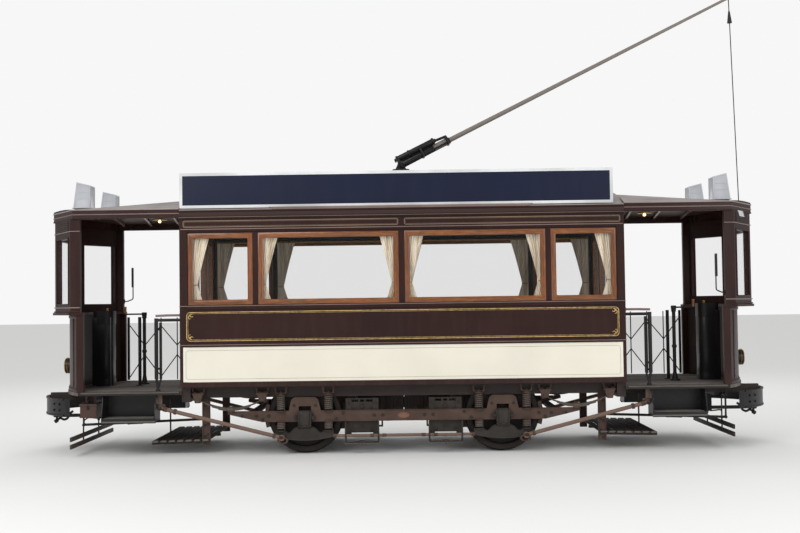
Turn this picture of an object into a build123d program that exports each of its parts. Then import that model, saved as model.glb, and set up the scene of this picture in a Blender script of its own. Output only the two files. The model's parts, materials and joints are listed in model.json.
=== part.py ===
from build123d import *
import os
from math import atan2, cos, degrees, radians, sin, sqrt

os.makedirs("parts", exist_ok=True)

# A single-truck electric tram with open platforms, glazed end screens and a trolley pole.
# Millimetres. X runs along the car, Y across it, Z up. Z = 0 is the bottom of the wheel flanges.
# The side at -Y is the near side. End "left" is at -X, end "right" at +X.

# General sizes
body_width = 1980
saloon_length = 5106
side_y = body_width / 2
half_saloon = saloon_length / 2
seat_gap = 0.3

# Wheels, axles and the truck
tread_diameter = 838
flange_height = 20
wheel_base = 2286
back_to_back = 1360
tyre_width = 95
tyre_thickness = 62
hub_diameter = 210
web_thickness = 26
axle_diameter = 120
journal_diameter = 100
journal_clearance = 0.08
axle_box_width = 140
axle_box_below_axle = 139
axle_box_above_axle = 61
axle_box_lid = 13
frame_inner_y = 805
frame_thickness = 40
side_bar_bottom = 374
side_bar_top = 501
side_bar_reach = 2035
side_bar_taper = 400
yoke_half_width = 182
yoke_taper = 32
yoke_top = 656
yoke_head = 104
yoke_radius = 60
spring_y = 845
spring_spacing = 550
spring_diameter = 100
lower_spring_bottom = 279
upper_spring_top = 676
spring_cap_thickness = 17
spring_fork_half = 70
spring_fork_leg = 20
cradle_half_length = 335
cradle_bottom = 160
cradle_end_depth = 72
cradle_width = 80
strap_centre_x = 482
strap_half_length = 190
hanger_width = 66
strap_bottom = 127
strap_thickness = 12
strap_width = 50
transom_thickness = 30
transom_x = 190
end_transom_x = 1780

# Leaf springs at the truck's ends
leaf_inner_eye = (1631, 645)
leaf_outer_eye = (2374, 635)
leaf_middle_x = 1992
leaf_thickness = 9
leaf_count = 4
leaf_step = 75
leaf_width = 66
leaf_pin_diameter = 28
eye_wall = 10
buckle_length = 66

# Tie rods between the cradles and the car's ends
tie_rod_diameter = 46
level_rod_y = 870
level_rod_z = 212
level_rod_diameter = 26
tie_rod_outer = (half_saloon + 253, 558)
tie_rod_inner = (1403, 200)
tie_rod_y = 912

# Brakes and life guards
shoe_gap = 8
shoe_thickness = 44
shoe_width = 64
shoe_half_angle = 17
brake_beam_x = 1640
brake_beam_height = 60
tray_tip = (half_saloon + 475, 96)
tray_heel = (half_saloon - 193, 250)
tray_half_width = 760
tray_slats = 9
guard_tip = (half_saloon + 1490, 62)
guard_heel = (half_saloon + 960, 262)
guard_half_width = 390
guard_slats = 6
slat_width = 42
slat_thickness = 16

# Motors, axle hung
motor_length = 470
motor_width = 620
motor_height = 420
motor_axle_gap = 26

# Underframe, floors and steps
sole_plate_wheel_gap = 7
sole_plate_thickness = 12
side_rail_thickness = 16
sole_plate_bottom = 658
bearer_bottom = 760
bearer_width = 90
sill_bottom = 796
sill_top = 853
saloon_floor_top = 890
floor_thickness = 30
platform_floor_top = 750
platform_floor_thickness = 39
platform_bearer_y = 350
platform_bearer_width = 70
platform_bearer_bottom = 620
step_inner_x = half_saloon + 290
step_outer_x = half_saloon + 909
step_depth = 265
step_tread_top = 446
step_tread_thickness = 40
step_plate = 10

# Saloon sides, heights of the bands
wall_thickness = 60
panel_thickness = 15
lower_moulding_bottom = 1253
lower_moulding_top = 1293
belt_moulding_bottom = 1682
belt_moulding_top = 1720
moulding_proud = 16
moulding_nose = 9
window_bottom = 1734
window_top = 2560
letterboard_bottom = 2580
cornice_bottom = 2724
cornice_top = 2822
cornice_proud = 22
corner_post_width = 88
centre_pillar_width = 70
large_window_width = 1615
window_pillar_width = 64
corner_window_gap = 92
small_window_width = (
    half_saloon
    - centre_pillar_width / 2
    - large_window_width
    - window_pillar_width
    - corner_window_gap
)
sash_thickness = 32
sash_stile = 66
sash_rail = 57
glass_thickness = 6

# Roofs
roof_rise = 228
roof_thickness = 30
canopy_fascia_bottom = 2740
canopy_fascia_top = 2850
canopy_rise_inner = 172
canopy_rise_outer = 18
canopy_overhang = 14
fascia_thickness = 32

# End screens: a flat centre pane and two angled ones, over a round dash
screen_corner_x = half_saloon + 1256
screen_front_x = half_saloon + 1610
screen_front_half = 430
screen_thickness = 62
screen_bottom = 1665
screen_glass_bottom = 1770
screen_glass_top = 2523
screen_post = 72
corner_post_inner_x = half_saloon + 1144
corner_pillar_inner_x = half_saloon + 1113
ledge_thickness = 28
ledge_proud = 26
ledge_inset = 150
dash_front_x = half_saloon + 1494
dash_radius = 1654
dash_thickness = 24

# Bumpers, drawbars and lamps
bumper_front_x = half_saloon + 1812
bumper_radius = 808
bumper_half_width = 700
bumper_thickness = 25
bumper_bottom = 454
bumper_top = 657
drawbar_z = 400
drawbar_thickness = 36
drawbar_end_x = half_saloon + 1772
drawbar_pin_hole = 34
headlamp_z = 1010
headlamp_diameter = 186
headlamp_front_x = half_saloon + 1612

# Inside the saloon
bulkhead_thickness = 50
bulkhead_inset = 5
door_opening = 640
door_width = 700
door_height = 1790
door_thickness = 30
door_gap = 6
bench_front_y = 500
bench_seat_height = 440
bench_seat_thickness = 40
bench_end_gap = 110
bench_board = 22

# Platform fittings
controller_x = half_saloon + 1037
controller_depth = 250
controller_width = 280
controller_top = 1640
controller_centre_y = 100
controller_round = 90
controller_lever = 150
brake_column_x = half_saloon + 713
brake_column_y = 284
brake_column_top = 1600
brake_crank = 245
brake_grip_height = 95
brake_column_diameter = 44
platform_post_x = half_saloon + 702
platform_post_top = 1600
platform_post_diameter = 40
gate_rail_top = 1590
gate_y = side_y - 35
gate_bottom_gap = 14
picket_width = 22
picket_thickness = 8
picket_count = 4
stile_half = 14
link_width = 26
link_thickness = 5
stanchion_x = half_saloon + 277
stanchion_diameter = 44

# On the roof
signboard_length = saloon_length - 114
signboard_seat = 1.3
signboard_height = 408
signboard_y = side_y - 40
signboard_thickness = 30
end_box_outer_x = half_saloon + 1282
end_box_length = 165
end_box_width = 210
end_box_y = 560
end_box_base = 2894
end_box_height = 316
plank_length = 1500
plank_width = 420
plank_thickness = 45
pedestal_top = 3360
pedestal_foot = 190
pedestal_head = 80
pivot_z = 3440
pole_angle = 26.3
pole_length = 4640
pole_root_diameter = 62
pole_tip_diameter = 32
trolley_wheel_diameter = 130

# Places worked out from the sizes above
axle_z = flange_height + tread_diameter / 2
tread_radius = tread_diameter / 2
wheel_back_y = back_to_back / 2
wheel_face_y = wheel_back_y + tyre_width
half_base = wheel_base / 2
frame_outer_y = frame_inner_y + frame_thickness
axle_box_bottom = axle_z - axle_box_below_axle
axle_box_top = axle_z + axle_box_above_axle
axle_box_face_y = frame_outer_y + 40
saloon_floor_bottom = saloon_floor_top - floor_thickness
platform_floor_bottom = platform_floor_top - platform_floor_thickness
sole_plate_y = wheel_face_y + sole_plate_wheel_gap
frame_back_y = side_y - wall_thickness
bearer_end_y = frame_back_y - 30
leaf_middle = (leaf_middle_x, side_bar_top + 1 + leaf_count * leaf_thickness)
roof_radius = (side_y**2 + roof_rise**2) / (2 * roof_rise)
frame_face_y = side_y - panel_thickness
roof_crown = cornice_top + roof_rise
roof_centre_z = roof_crown - roof_radius
BOTTOM = (Align.CENTER, Align.CENTER, Align.MIN)
ENDS = (("left", -1), ("right", 1))


def block(low, high, mode=Mode.ADD):
    """A square-edged bar or plate between two opposite corners."""
    centre = [(a + b) / 2 for a, b in zip(low, high)]
    with Locations(tuple(centre)):
        Box(*[abs(b - a) for a, b in zip(low, high)], mode=mode)


def rod(start, end, radius, mode=Mode.ADD):
    """A round bar from one point to another."""
    run = Vector(*end) - Vector(*start)
    with Locations(Plane(origin=start, z_dir=run).location):
        Cylinder(radius, run.length, align=BOTTOM, mode=mode)


def side_plane(way, y):
    """Upright plane along the car, at a distance y from the centre line."""
    return Plane.XZ.offset(-way * y)


def sloping_slats(tip, heel, half_width, count):
    """Cross slats laid on a slope between two points of the XZ plane."""
    run = Vector(heel[0] - tip[0], 0, heel[1] - tip[1])
    upward = run.cross(Vector(0, 1, 0))
    if upward.Z < 0:
        upward = -upward
    for slat in range(count):
        share = (slat + 0.5) / count
        centre = (tip[0] + run.X * share, 0, tip[1] + run.Z * share + slat_thickness)
        with Locations(Plane(origin=centre, x_dir=run, z_dir=upward).location):
            Box(slat_width, 2 * half_width, slat_thickness)


# Wheelsets: two flanged wheels on one axle, turned about the axle's centre line
flange_radius = tread_radius + flange_height
rim_radius = tread_radius - tyre_thickness
web_inner_y = wheel_back_y + 26
journal_end_y = axle_box_face_y - axle_box_lid
for end, sign in ENDS:
    axle_x = sign * half_base
    with BuildPart() as wheelset:
        with BuildSketch(Plane((axle_x, 0, axle_z), x_dir=(0, 1, 0), z_dir=(1, 0, 0))):
            with BuildLine():
                Polyline(
                    (0, 0),
                    (0, axle_diameter / 2),
                    (wheel_back_y - 25, axle_diameter / 2),
                    (wheel_back_y - 25, hub_diameter / 2),
                    (web_inner_y, hub_diameter / 2 + 12),
                    (web_inner_y, rim_radius - 10),
                    (wheel_back_y, rim_radius),
                    (wheel_back_y, flange_radius),
                    (wheel_back_y + 16, flange_radius - 3),
                    (wheel_back_y + 30, tread_radius),
                    (wheel_face_y, tread_radius - 3),
                    (wheel_face_y, rim_radius),
                    (web_inner_y + web_thickness, rim_radius - 10),
                    (web_inner_y + web_thickness, hub_diameter / 2 + 12),
                    (wheel_face_y - 4, hub_diameter / 2),
                    (wheel_face_y - 4, axle_diameter / 2),
                    (frame_inner_y - 15, axle_diameter / 2),
                    (frame_inner_y - 15, journal_diameter / 2),
                    (journal_end_y - 2, journal_diameter / 2),
                    (journal_end_y - 2, 0),
                    close=True,
                )
            make_face()
        revolve(axis=Axis((axle_x, 0, axle_z), (0, 1, 0)))
        mirror(about=Plane.XZ)
    wheelset.part.label = f"wheelset_{end}"
    export_step(wheelset.part, f"parts/wheelset_{end}.step")

# Truck frame: two tapered side bars with a yoke over each axle box, joined by transoms
slot_half_width = axle_box_width / 2 + seat_gap
yoke_angle = 90 - degrees(atan2(2 * yoke_taper, yoke_top - side_bar_bottom))
with BuildPart() as truck_frame:
    for way in (-1, 1):
        with BuildSketch(side_plane(way, frame_inner_y)):
            with BuildLine():
                Polyline(
                    (-side_bar_reach, side_bar_top),
                    (-side_bar_reach, side_bar_top - 34),
                    (-side_bar_reach + side_bar_taper, side_bar_bottom),
                    (side_bar_reach - side_bar_taper, side_bar_bottom),
                    (side_bar_reach, side_bar_top - 34),
                    (side_bar_reach, side_bar_top),
                    close=True,
                )
            make_face()
            with Locations((-half_base, side_bar_bottom), (half_base, side_bar_bottom)):
                Trapezoid(
                    2 * (yoke_half_width + yoke_taper),
                    yoke_top - side_bar_bottom,
                    yoke_angle,
                    align=(Align.CENTER, Align.MIN),
                )
        extrude(amount=-way * frame_thickness)
    corners = truck_frame.edges().filter_by(Axis.Y).group_by(Axis.Z)[-1]
    fillet(corners, radius=yoke_radius)
    for way in (-1, 1):
        for axle_x in (-half_base, half_base):
            block(
                (axle_x - slot_half_width, way * (frame_inner_y - 1), side_bar_bottom - 1),
                (axle_x + slot_half_width, way * (frame_outer_y + 1), yoke_top - yoke_head),
                mode=Mode.SUBTRACT,
            )
            for spring_x in (axle_x - spring_spacing / 2, axle_x + spring_spacing / 2):
                for pad_z in (side_bar_bottom, side_bar_top - 8):
                    with Locations((spring_x, way * spring_y, pad_z)):
                        Cylinder(spring_diameter / 2 + 4, 8, align=BOTTOM)
    for x in (-end_transom_x, -transom_x, transom_x, end_transom_x):
        block(
            (x - transom_thickness / 2, -frame_inner_y, side_bar_bottom + 40),
            (x + transom_thickness / 2, frame_inner_y, side_bar_top - 10),
        )
truck_frame.part.label = "truck_frame"
export_step(truck_frame.part, "parts/truck_frame.step")

# Straps inside the truck's side bars: upright plates, and a U below them round the level rods
with BuildPart() as truck_straps:
    for way in (-1, 1):
        for strap_x in (-strap_centre_x, strap_centre_x):
            low_y = way * (level_rod_y - strap_width / 2)
            high_y = way * (level_rod_y + strap_width / 2)
            rod_underside = level_rod_z - level_rod_diameter / 2 - seat_gap
            left = strap_x - strap_half_length
            right = strap_x + strap_half_length
            block((left, low_y, strap_bottom), (right, high_y, strap_bottom + strap_thickness))
            for upright in (left, right - strap_thickness):
                block(
                    (upright, low_y, strap_bottom),
                    (upright + strap_thickness, high_y, rod_underside),
                )
            for plate in (left, right - hanger_width):
                block(
                    (plate, way * (frame_inner_y - strap_thickness), level_rod_z),
                    (plate + hanger_width, way * frame_inner_y, yoke_top - 20),
                )
truck_straps.part.label = "truck_straps"
export_step(truck_straps.part, "parts/truck_straps.step")

# Axle boxes: cast boxes that slide in the yokes, each bored for its journal, with a round lid
with BuildPart() as axle_boxes:
    for way in (-1, 1):
        for axle_x in (-half_base, half_base):
            block(
                (axle_x - axle_box_width / 2, way * (frame_inner_y - 8), axle_box_bottom),
                (axle_x + axle_box_width / 2, way * axle_box_face_y, axle_box_top),
            )
            rod(
                (axle_x, way * axle_box_face_y, axle_z),
                (axle_x, way * (axle_box_face_y + 12), axle_z),
                axle_box_width / 2 - 12,
            )
            rod(
                (axle_x, way * (frame_inner_y - 9), axle_z),
                (axle_x, way * journal_end_y, axle_z),
                journal_diameter / 2 + journal_clearance,
                mode=Mode.SUBTRACT,
            )
axle_boxes.part.label = "axle_boxes"
export_step(axle_boxes.part, "parts/axle_boxes.step")

# Spring cradles: boat-shaped castings under the axle boxes that carry the lower springs
with BuildPart() as spring_cradles:
    for way in (-1, 1):
        for axle_x in (-half_base, half_base):
            near_face = frame_inner_y if way > 0 else -frame_inner_y - cradle_width
            with BuildSketch(Plane.XZ.offset(-near_face)):
                with BuildLine():
                    Polyline(
                        (axle_x - cradle_half_length, lower_spring_bottom - cradle_end_depth),
                        (axle_x - cradle_half_length, lower_spring_bottom),
                        (axle_x - 200, lower_spring_bottom),
                        (axle_x - 95, axle_box_bottom),
                        (axle_x + 95, axle_box_bottom),
                        (axle_x + 200, lower_spring_bottom),
                        (axle_x + cradle_half_length, lower_spring_bottom),
                        (axle_x + cradle_half_length, lower_spring_bottom - cradle_end_depth),
                    )
                    ThreePointArc(
                        (axle_x + cradle_half_length, lower_spring_bottom - cradle_end_depth),
                        (axle_x, cradle_bottom),
                        (axle_x - cradle_half_length, lower_spring_bottom - cradle_end_depth),
                    )
                make_face()
            extrude(amount=-cradle_width)
spring_cradles.part.label = "spring_cradles"
export_step(spring_cradles.part, "parts/spring_cradles.step")

# Coil springs: above and below the side bars, on each side of each axle
with BuildPart() as coil_springs:
    for way in (-1, 1):
        for axle_x in (-half_base, half_base):
            for spring_x in (axle_x - spring_spacing / 2, axle_x + spring_spacing / 2):
                for bottom, top in (
                    (lower_spring_bottom, side_bar_bottom),
                    (side_bar_top, upper_spring_top),
                ):
                    with Locations((spring_x, way * spring_y, bottom)):
                        Cylinder(spring_diameter / 2, top - bottom, align=BOTTOM)
coil_springs.part.label = "coil_springs"
export_step(coil_springs.part, "parts/coil_springs.step")

# Spring brackets under the side rails: a forked cap on each upper spring, and a forked hanger
# with two cheeks and a pin at each eye of the leaf springs
leaf_in_y = frame_inner_y + 7
leaf_out_y = leaf_in_y + leaf_width
cheek_plate = 11
cheek_clearance = 1
hanger_fork_half = 76
hanger_fork_z = 704
fork_depth = 40
side_rail_bottom = sill_bottom - side_rail_thickness


def fork(x, way, half, bottom, in_y, out_y):
    """A seat with two upright prongs that reach the side rail."""
    middle_y = (in_y + out_y) / 2
    block((x - half, way * in_y, bottom), (x + half, way * out_y, bottom + spring_cap_thickness))
    for prong_x in (x - half, x + half - spring_fork_leg):
        block(
            (prong_x, way * (middle_y - fork_depth / 2), bottom),
            (prong_x + spring_fork_leg, way * (middle_y + fork_depth / 2), side_rail_bottom),
        )


with BuildPart() as spring_brackets:
    for way in (-1, 1):
        for axle_x in (-half_base, half_base):
            for spring_x in (axle_x - spring_spacing / 2, axle_x + spring_spacing / 2):
                fork(
                    spring_x,
                    way,
                    spring_fork_half,
                    upper_spring_top,
                    spring_y - spring_diameter / 2 + 2,
                    spring_y + spring_diameter / 2 - 2,
                )
        for sign in (-1, 1):
            for eye in (leaf_inner_eye, leaf_outer_eye):
                eye_x = sign * eye[0]
                eye_z = eye[1] - leaf_thickness / 2
                cheek_in_y = leaf_in_y - cheek_clearance
                cheek_out_y = leaf_out_y + cheek_clearance
                fork(
                    eye_x,
                    way,
                    hanger_fork_half,
                    hanger_fork_z,
                    cheek_in_y - cheek_plate,
                    cheek_out_y + cheek_plate,
                )
                for cheek_y in (cheek_in_y - cheek_plate, cheek_out_y):
                    face_y = cheek_y if way > 0 else -cheek_y - cheek_plate
                    with BuildSketch(Plane.XZ.offset(-face_y)):
                        with BuildLine():
                            Polyline(
                                (eye_x - 30, eye_z - 20),
                                (eye_x + 30, eye_z - 20),
                                (eye_x + 64, hanger_fork_z),
                                (eye_x - 64, hanger_fork_z),
                                close=True,
                            )
                        make_face()
                    extrude(amount=-cheek_plate)
                rod(
                    (eye_x, way * (cheek_in_y - cheek_plate), eye_z),
                    (eye_x, way * (cheek_out_y + cheek_plate + 6), eye_z),
                    leaf_pin_diameter / 2,
                )
spring_brackets.part.label = "spring_brackets"
export_step(spring_brackets.part, "parts/spring_brackets.step")

# Leaf springs: four half-elliptic packs, eyes up, each seated on the end of a side bar
leaf_chord_in = Vector(leaf_middle[0] - leaf_inner_eye[0], leaf_middle[1] - leaf_inner_eye[1])
leaf_chord_out = Vector(leaf_outer_eye[0] - leaf_middle[0], leaf_outer_eye[1] - leaf_middle[1])
leaf_chord = Vector(leaf_outer_eye[0] - leaf_inner_eye[0], leaf_outer_eye[1] - leaf_inner_eye[1])
leaf_cross = leaf_chord_in.X * leaf_chord_out.Y - leaf_chord_in.Y * leaf_chord_out.X
leaf_radius = leaf_chord_in.length * leaf_chord_out.length * leaf_chord.length / (2 * leaf_cross)
chord_normal = Vector(-leaf_chord.Y, leaf_chord.X).normalized()
chord_height = sqrt(leaf_radius**2 - (leaf_chord.length / 2) ** 2)
leaf_centre_x = (leaf_inner_eye[0] + leaf_outer_eye[0]) / 2 + chord_normal.X * chord_height
leaf_centre_z = (leaf_inner_eye[1] + leaf_outer_eye[1]) / 2 + chord_normal.Y * chord_height
leaf_from = atan2(leaf_inner_eye[1] - leaf_centre_z, leaf_inner_eye[0] - leaf_centre_x)
leaf_to = atan2(leaf_outer_eye[1] - leaf_centre_z, leaf_outer_eye[0] - leaf_centre_x)
leaf_cut = leaf_step / leaf_radius


def leaf_point(sign, leaf, angle):
    """Point on the face between two leaves of a pack, at an angle about the arcs' centre."""
    radius = leaf_radius + leaf * leaf_thickness
    return (
        sign * (leaf_centre_x + radius * cos(angle)),
        leaf_centre_z + radius * sin(angle),
    )


with BuildPart() as leaf_springs:
    for way in (-1, 1):
        for sign in (-1, 1):
            near_face = leaf_in_y if way > 0 else -leaf_in_y - leaf_width
            with BuildSketch(Plane.XZ.offset(-near_face)):
                with BuildLine():
                    ThreePointArc(
                        leaf_point(sign, 0, leaf_from),
                        leaf_point(sign, 0, (leaf_from + leaf_to) / 2),
                        leaf_point(sign, 0, leaf_to),
                    )
                    for leaf in range(leaf_count):
                        for edge, toward in ((leaf_from, 1), (leaf_to, -1)):
                            angle = edge + toward * leaf * leaf_cut
                            Line(leaf_point(sign, leaf, angle), leaf_point(sign, leaf + 1, angle))
                            if leaf < leaf_count - 1:
                                further = angle + toward * leaf_cut
                                ThreePointArc(
                                    leaf_point(sign, leaf + 1, angle),
                                    leaf_point(sign, leaf + 1, (angle + further) / 2),
                                    leaf_point(sign, leaf + 1, further),
                                )
                    last_cut = (leaf_count - 1) * leaf_cut
                    ThreePointArc(
                        leaf_point(sign, leaf_count, leaf_from + last_cut),
                        leaf_point(sign, leaf_count, (leaf_from + leaf_to) / 2),
                        leaf_point(sign, leaf_count, leaf_to - last_cut),
                    )
                make_face()
                for eye in (leaf_inner_eye, leaf_outer_eye):
                    with Locations((sign * eye[0], eye[1] - leaf_thickness / 2)):
                        Circle(leaf_pin_diameter / 2 + eye_wall)
                with Locations((sign * leaf_middle[0], side_bar_top)):
                    Rectangle(
                        buckle_length,
                        leaf_middle[1] + 14 - side_bar_top,
                        align=(Align.CENTER, Align.MIN),
                    )
                for eye in (leaf_inner_eye, leaf_outer_eye):
                    with Locations((sign * eye[0], eye[1] - leaf_thickness / 2)):
                        Circle(leaf_pin_diameter / 2 + seat_gap, mode=Mode.SUBTRACT)
            extrude(amount=-leaf_width)
leaf_springs.part.label = "leaf_springs"
export_step(leaf_springs.part, "parts/leaf_springs.step")


# Tie rods: sloping from the cradles to the car's ends, and level between the cradles
with BuildPart() as tie_rods:
    for way in (-1, 1):
        for sign in (-1, 1):
            outer = (sign * tie_rod_outer[0], way * tie_rod_y, tie_rod_outer[1])
            inner = (sign * tie_rod_inner[0], way * tie_rod_y, tie_rod_inner[1])
            rod(outer, inner, tie_rod_diameter / 2)
            rod(
                (inner[0], way * (frame_inner_y + cradle_width), inner[2]),
                (inner[0], way * (tie_rod_y + 26), inner[2]),
                34,
            )
            rod(
                (outer[0], way * (tie_rod_y - 24), outer[2]),
                (outer[0], way * (tie_rod_y + 24), outer[2]),
                30,
            )
            block(
                (outer[0] - 25, way * (tie_rod_y - 24), outer[2]),
                (outer[0] + 25, way * (tie_rod_y - 10), platform_floor_bottom),
            )
        rod(
            (-half_base + cradle_half_length, way * level_rod_y, level_rod_z),
            (half_base - cradle_half_length, way * level_rod_y, level_rod_z),
            level_rod_diameter / 2,
        )
tie_rods.part.label = "tie_rods"
export_step(tie_rods.part, "parts/tie_rods.step")

# Brake rigging: a shoe before each wheel's tread, on a beam hung from the end transom
shoe_in = tread_radius + shoe_gap
shoe_out = shoe_in + shoe_thickness
with BuildPart() as brake_rigging:
    for sign in (-1, 1):
        for way in (-1, 1):
            shoe_y = wheel_face_y - 2 if way > 0 else -wheel_face_y + 2 + shoe_width
            with BuildSketch(Plane.XZ.offset(-shoe_y)):
                with BuildLine():
                    lean = radians(shoe_half_angle)
                    arcs = []
                    for radius in (shoe_in, shoe_out):
                        top = (
                            sign * (half_base + radius * cos(lean)),
                            axle_z + radius * sin(lean),
                        )
                        low = (top[0], 2 * axle_z - top[1])
                        mid = (sign * (half_base + radius), axle_z)
                        arcs.append(ThreePointArc(top, mid, low))
                    Line(arcs[0] @ 0, arcs[1] @ 0)
                    Line(arcs[0] @ 1, arcs[1] @ 1)
                make_face()
            extrude(amount=shoe_width)
            block(
                (sign * (brake_beam_x + 12), way * 420, axle_z - 12),
                (sign * (end_transom_x - transom_thickness / 2), way * 460, axle_z + 12),
            )
        block(
            (sign * (half_base + shoe_out - 6), -wheel_face_y, axle_z - brake_beam_height / 2),
            (sign * (brake_beam_x + 12), wheel_face_y, axle_z + brake_beam_height / 2),
        )
brake_rigging.part.label = "brake_rigging"
export_step(brake_rigging.part, "parts/brake_rigging.step")

# Life guards: a slatted gate under each platform and a slatted tray before each wheelset, with
# upright plates behind the trays
guard_post_x = half_saloon - 245
guard_post_width = 82
guard_post_y = 690
guard_post_thickness = 16
guard_post_bottom = 102
with BuildPart() as life_guards:
    for sign in (-1, 1):
        for tip, heel, half_width, count, hanger_y, hang_x, hang_top in (
            (
                guard_tip,
                guard_heel,
                guard_half_width,
                guard_slats,
                platform_bearer_y - 20,
                guard_heel[0] + 20,
                platform_bearer_bottom,
            ),
            (
                tray_tip,
                tray_heel,
                tray_half_width,
                tray_slats,
                tray_half_width - 60,
                half_saloon - 50,
                platform_bearer_bottom,
            ),
        ):
            mirrored_tip = (sign * tip[0], tip[1])
            mirrored_heel = (sign * heel[0], heel[1])
            sloping_slats(mirrored_tip, mirrored_heel, half_width, count)
            for way in (-1, 1):
                run = Vector(mirrored_heel[0] - mirrored_tip[0], 0, heel[1] - tip[1])
                middle = (
                    (mirrored_tip[0] + mirrored_heel[0]) / 2,
                    way * hanger_y,
                    (tip[1] + heel[1]) / 2,
                )
                with BuildSketch(Plane(origin=middle, x_dir=run, z_dir=(0, 1, 0))):
                    Rectangle(run.length, 2 * slat_thickness)
                extrude(amount=14, both=True)
                fall = (heel[1] - tip[1]) / (tip[0] - heel[0])
                hang_z = heel[1] - (hang_x - heel[0]) * fall
                rod(
                    (sign * hang_x, way * hanger_y, hang_z),
                    (sign * hang_x, way * hanger_y, hang_top),
                    11,
                )
    for sign in (-1, 1):
        for way in (-1, 1):
            block(
                (sign * guard_post_x - guard_post_width / 2, way * guard_post_y, guard_post_bottom),
                (
                    sign * guard_post_x + guard_post_width / 2,
                    way * (guard_post_y + guard_post_thickness),
                    bearer_bottom,
                ),
            )
life_guards.part.label = "life_guards"
export_step(life_guards.part, "parts/life_guards.step")

# Motors: one plain block to each axle, hung between the axle and the transom
with BuildPart() as motors:
    for sign in (-1, 1):
        axle_side = sign * (half_base - axle_diameter / 2 - motor_axle_gap)
        nose_side = axle_side - sign * motor_length
        block(
            (nose_side, -motor_width / 2, axle_z - motor_height / 2),
            (axle_side, motor_width / 2, axle_z + motor_height / 2),
        )
        block(
            (sign * (transom_x + transom_thickness / 2), -120, axle_z - 20),
            (nose_side, 120, axle_z + 50),
        )
motors.part.label = "motors"
export_step(motors.part, "parts/motors.step")

# Underframe: sole plates, cross bearers, end sills and the platform bearers, riveted up
outer_bearer_x = half_saloon - 245
bearer_places = (-outer_bearer_x, -1650, -600, 0, 600, 1650, outer_bearer_x)
with BuildPart() as underframe:
    for way in (-1, 1):
        block(
            (-half_saloon, way * sole_plate_y, sole_plate_bottom),
            (half_saloon, way * (sole_plate_y + sole_plate_thickness), saloon_floor_bottom),
        )
        block(
            (-half_saloon, way * sole_plate_y, side_rail_bottom),
            (half_saloon, way * bearer_end_y, sill_bottom),
        )
    for x in bearer_places:
        block(
            (x - bearer_width / 2, -sole_plate_y, bearer_bottom),
            (x + bearer_width / 2, sole_plate_y, saloon_floor_bottom),
        )
    for sign in (-1, 1):
        block(
            (sign * (half_saloon - 100), -bearer_end_y, platform_bearer_bottom),
            (sign * half_saloon, bearer_end_y, saloon_floor_bottom),
        )
        for way in (-1, 1):
            bearer_y = way * platform_bearer_y
            bumper_x = sign * (bumper_front_x - 130)
            block(
                (
                    sign * (half_saloon - 100),
                    bearer_y - platform_bearer_width / 2,
                    platform_bearer_bottom,
                ),
                (bumper_x, bearer_y + platform_bearer_width / 2, platform_floor_bottom),
            )
underframe.part.label = "underframe"
export_step(underframe.part, "parts/underframe.step")

# Saloon floor: boards between the sides, cut out over the wheels
wheel_well = 900
with BuildPart() as saloon_floor:
    block(
        (-half_saloon, -frame_back_y, saloon_floor_bottom),
        (half_saloon, frame_back_y, saloon_floor_top),
    )
    for sign in (-1, 1):
        for way in (-1, 1):
            block(
                (
                    sign * half_base - wheel_well / 2,
                    way * (wheel_back_y - 20),
                    saloon_floor_bottom - 1,
                ),
                (
                    sign * half_base + wheel_well / 2,
                    way * (wheel_face_y + 20),
                    saloon_floor_top + 1,
                ),
                mode=Mode.SUBTRACT,
            )
saloon_floor.part.label = "saloon_floor"
export_step(saloon_floor.part, "parts/saloon_floor.step")

# Window places along one side, as centre and width, with the corner posts outside them
large_centre = centre_pillar_width / 2 + large_window_width / 2
small_centre = (
    centre_pillar_width / 2 + large_window_width + window_pillar_width + small_window_width / 2
)
windows = (
    (-small_centre, small_window_width),
    (-large_centre, large_window_width),
    (large_centre, large_window_width),
    (small_centre, small_window_width),
)
window_height = window_top - window_bottom
window_mid_z = (window_top + window_bottom) / 2

# Saloon sides: framing with the window openings, corner posts and sill
panel_length = saloon_length - 2 * corner_post_width
with BuildPart() as side_frames:
    for way in (-1, 1):
        with BuildSketch(side_plane(way, frame_back_y)):
            with Locations((0, (sill_bottom + cornice_bottom) / 2)):
                Rectangle(saloon_length, cornice_bottom - sill_bottom)
            for centre, width in windows:
                with Locations((centre, window_mid_z)):
                    Rectangle(width, window_height, mode=Mode.SUBTRACT)
        extrude(amount=-way * (frame_face_y - frame_back_y))
        for sign in (-1, 1):
            post_x = sign * (half_saloon - corner_post_width / 2)
            with BuildSketch(side_plane(way, frame_face_y)):
                with Locations((post_x, (sill_bottom + cornice_bottom) / 2)):
                    Rectangle(corner_post_width, cornice_bottom - sill_bottom)
            extrude(amount=-way * panel_thickness)
        with BuildSketch(side_plane(way, frame_face_y)):
            with Locations((0, (sill_bottom + sill_top) / 2)):
                Rectangle(panel_length, sill_top - sill_bottom)
        extrude(amount=-way * panel_thickness)
side_frames.part.label = "side_frames"
export_step(side_frames.part, "parts/side_frames.step")

# Panels of the saloon sides: rocker, waist and letterboard, from the sill up
panel_bands = (
    ("rocker_panels", sill_top, lower_moulding_bottom),
    ("waist_panels", lower_moulding_top, belt_moulding_bottom),
    ("letterboards", letterboard_bottom, cornice_bottom),
)
for name, bottom, top in panel_bands:
    with BuildPart() as panels:
        for way in (-1, 1):
            with BuildSketch(side_plane(way, frame_face_y)):
                with Locations((0, (bottom + top) / 2)):
                    Rectangle(panel_length, top - bottom)
            extrude(amount=-way * panel_thickness)
    panels.part.label = name
    export_step(panels.part, f"parts/{name}.step")

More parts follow.
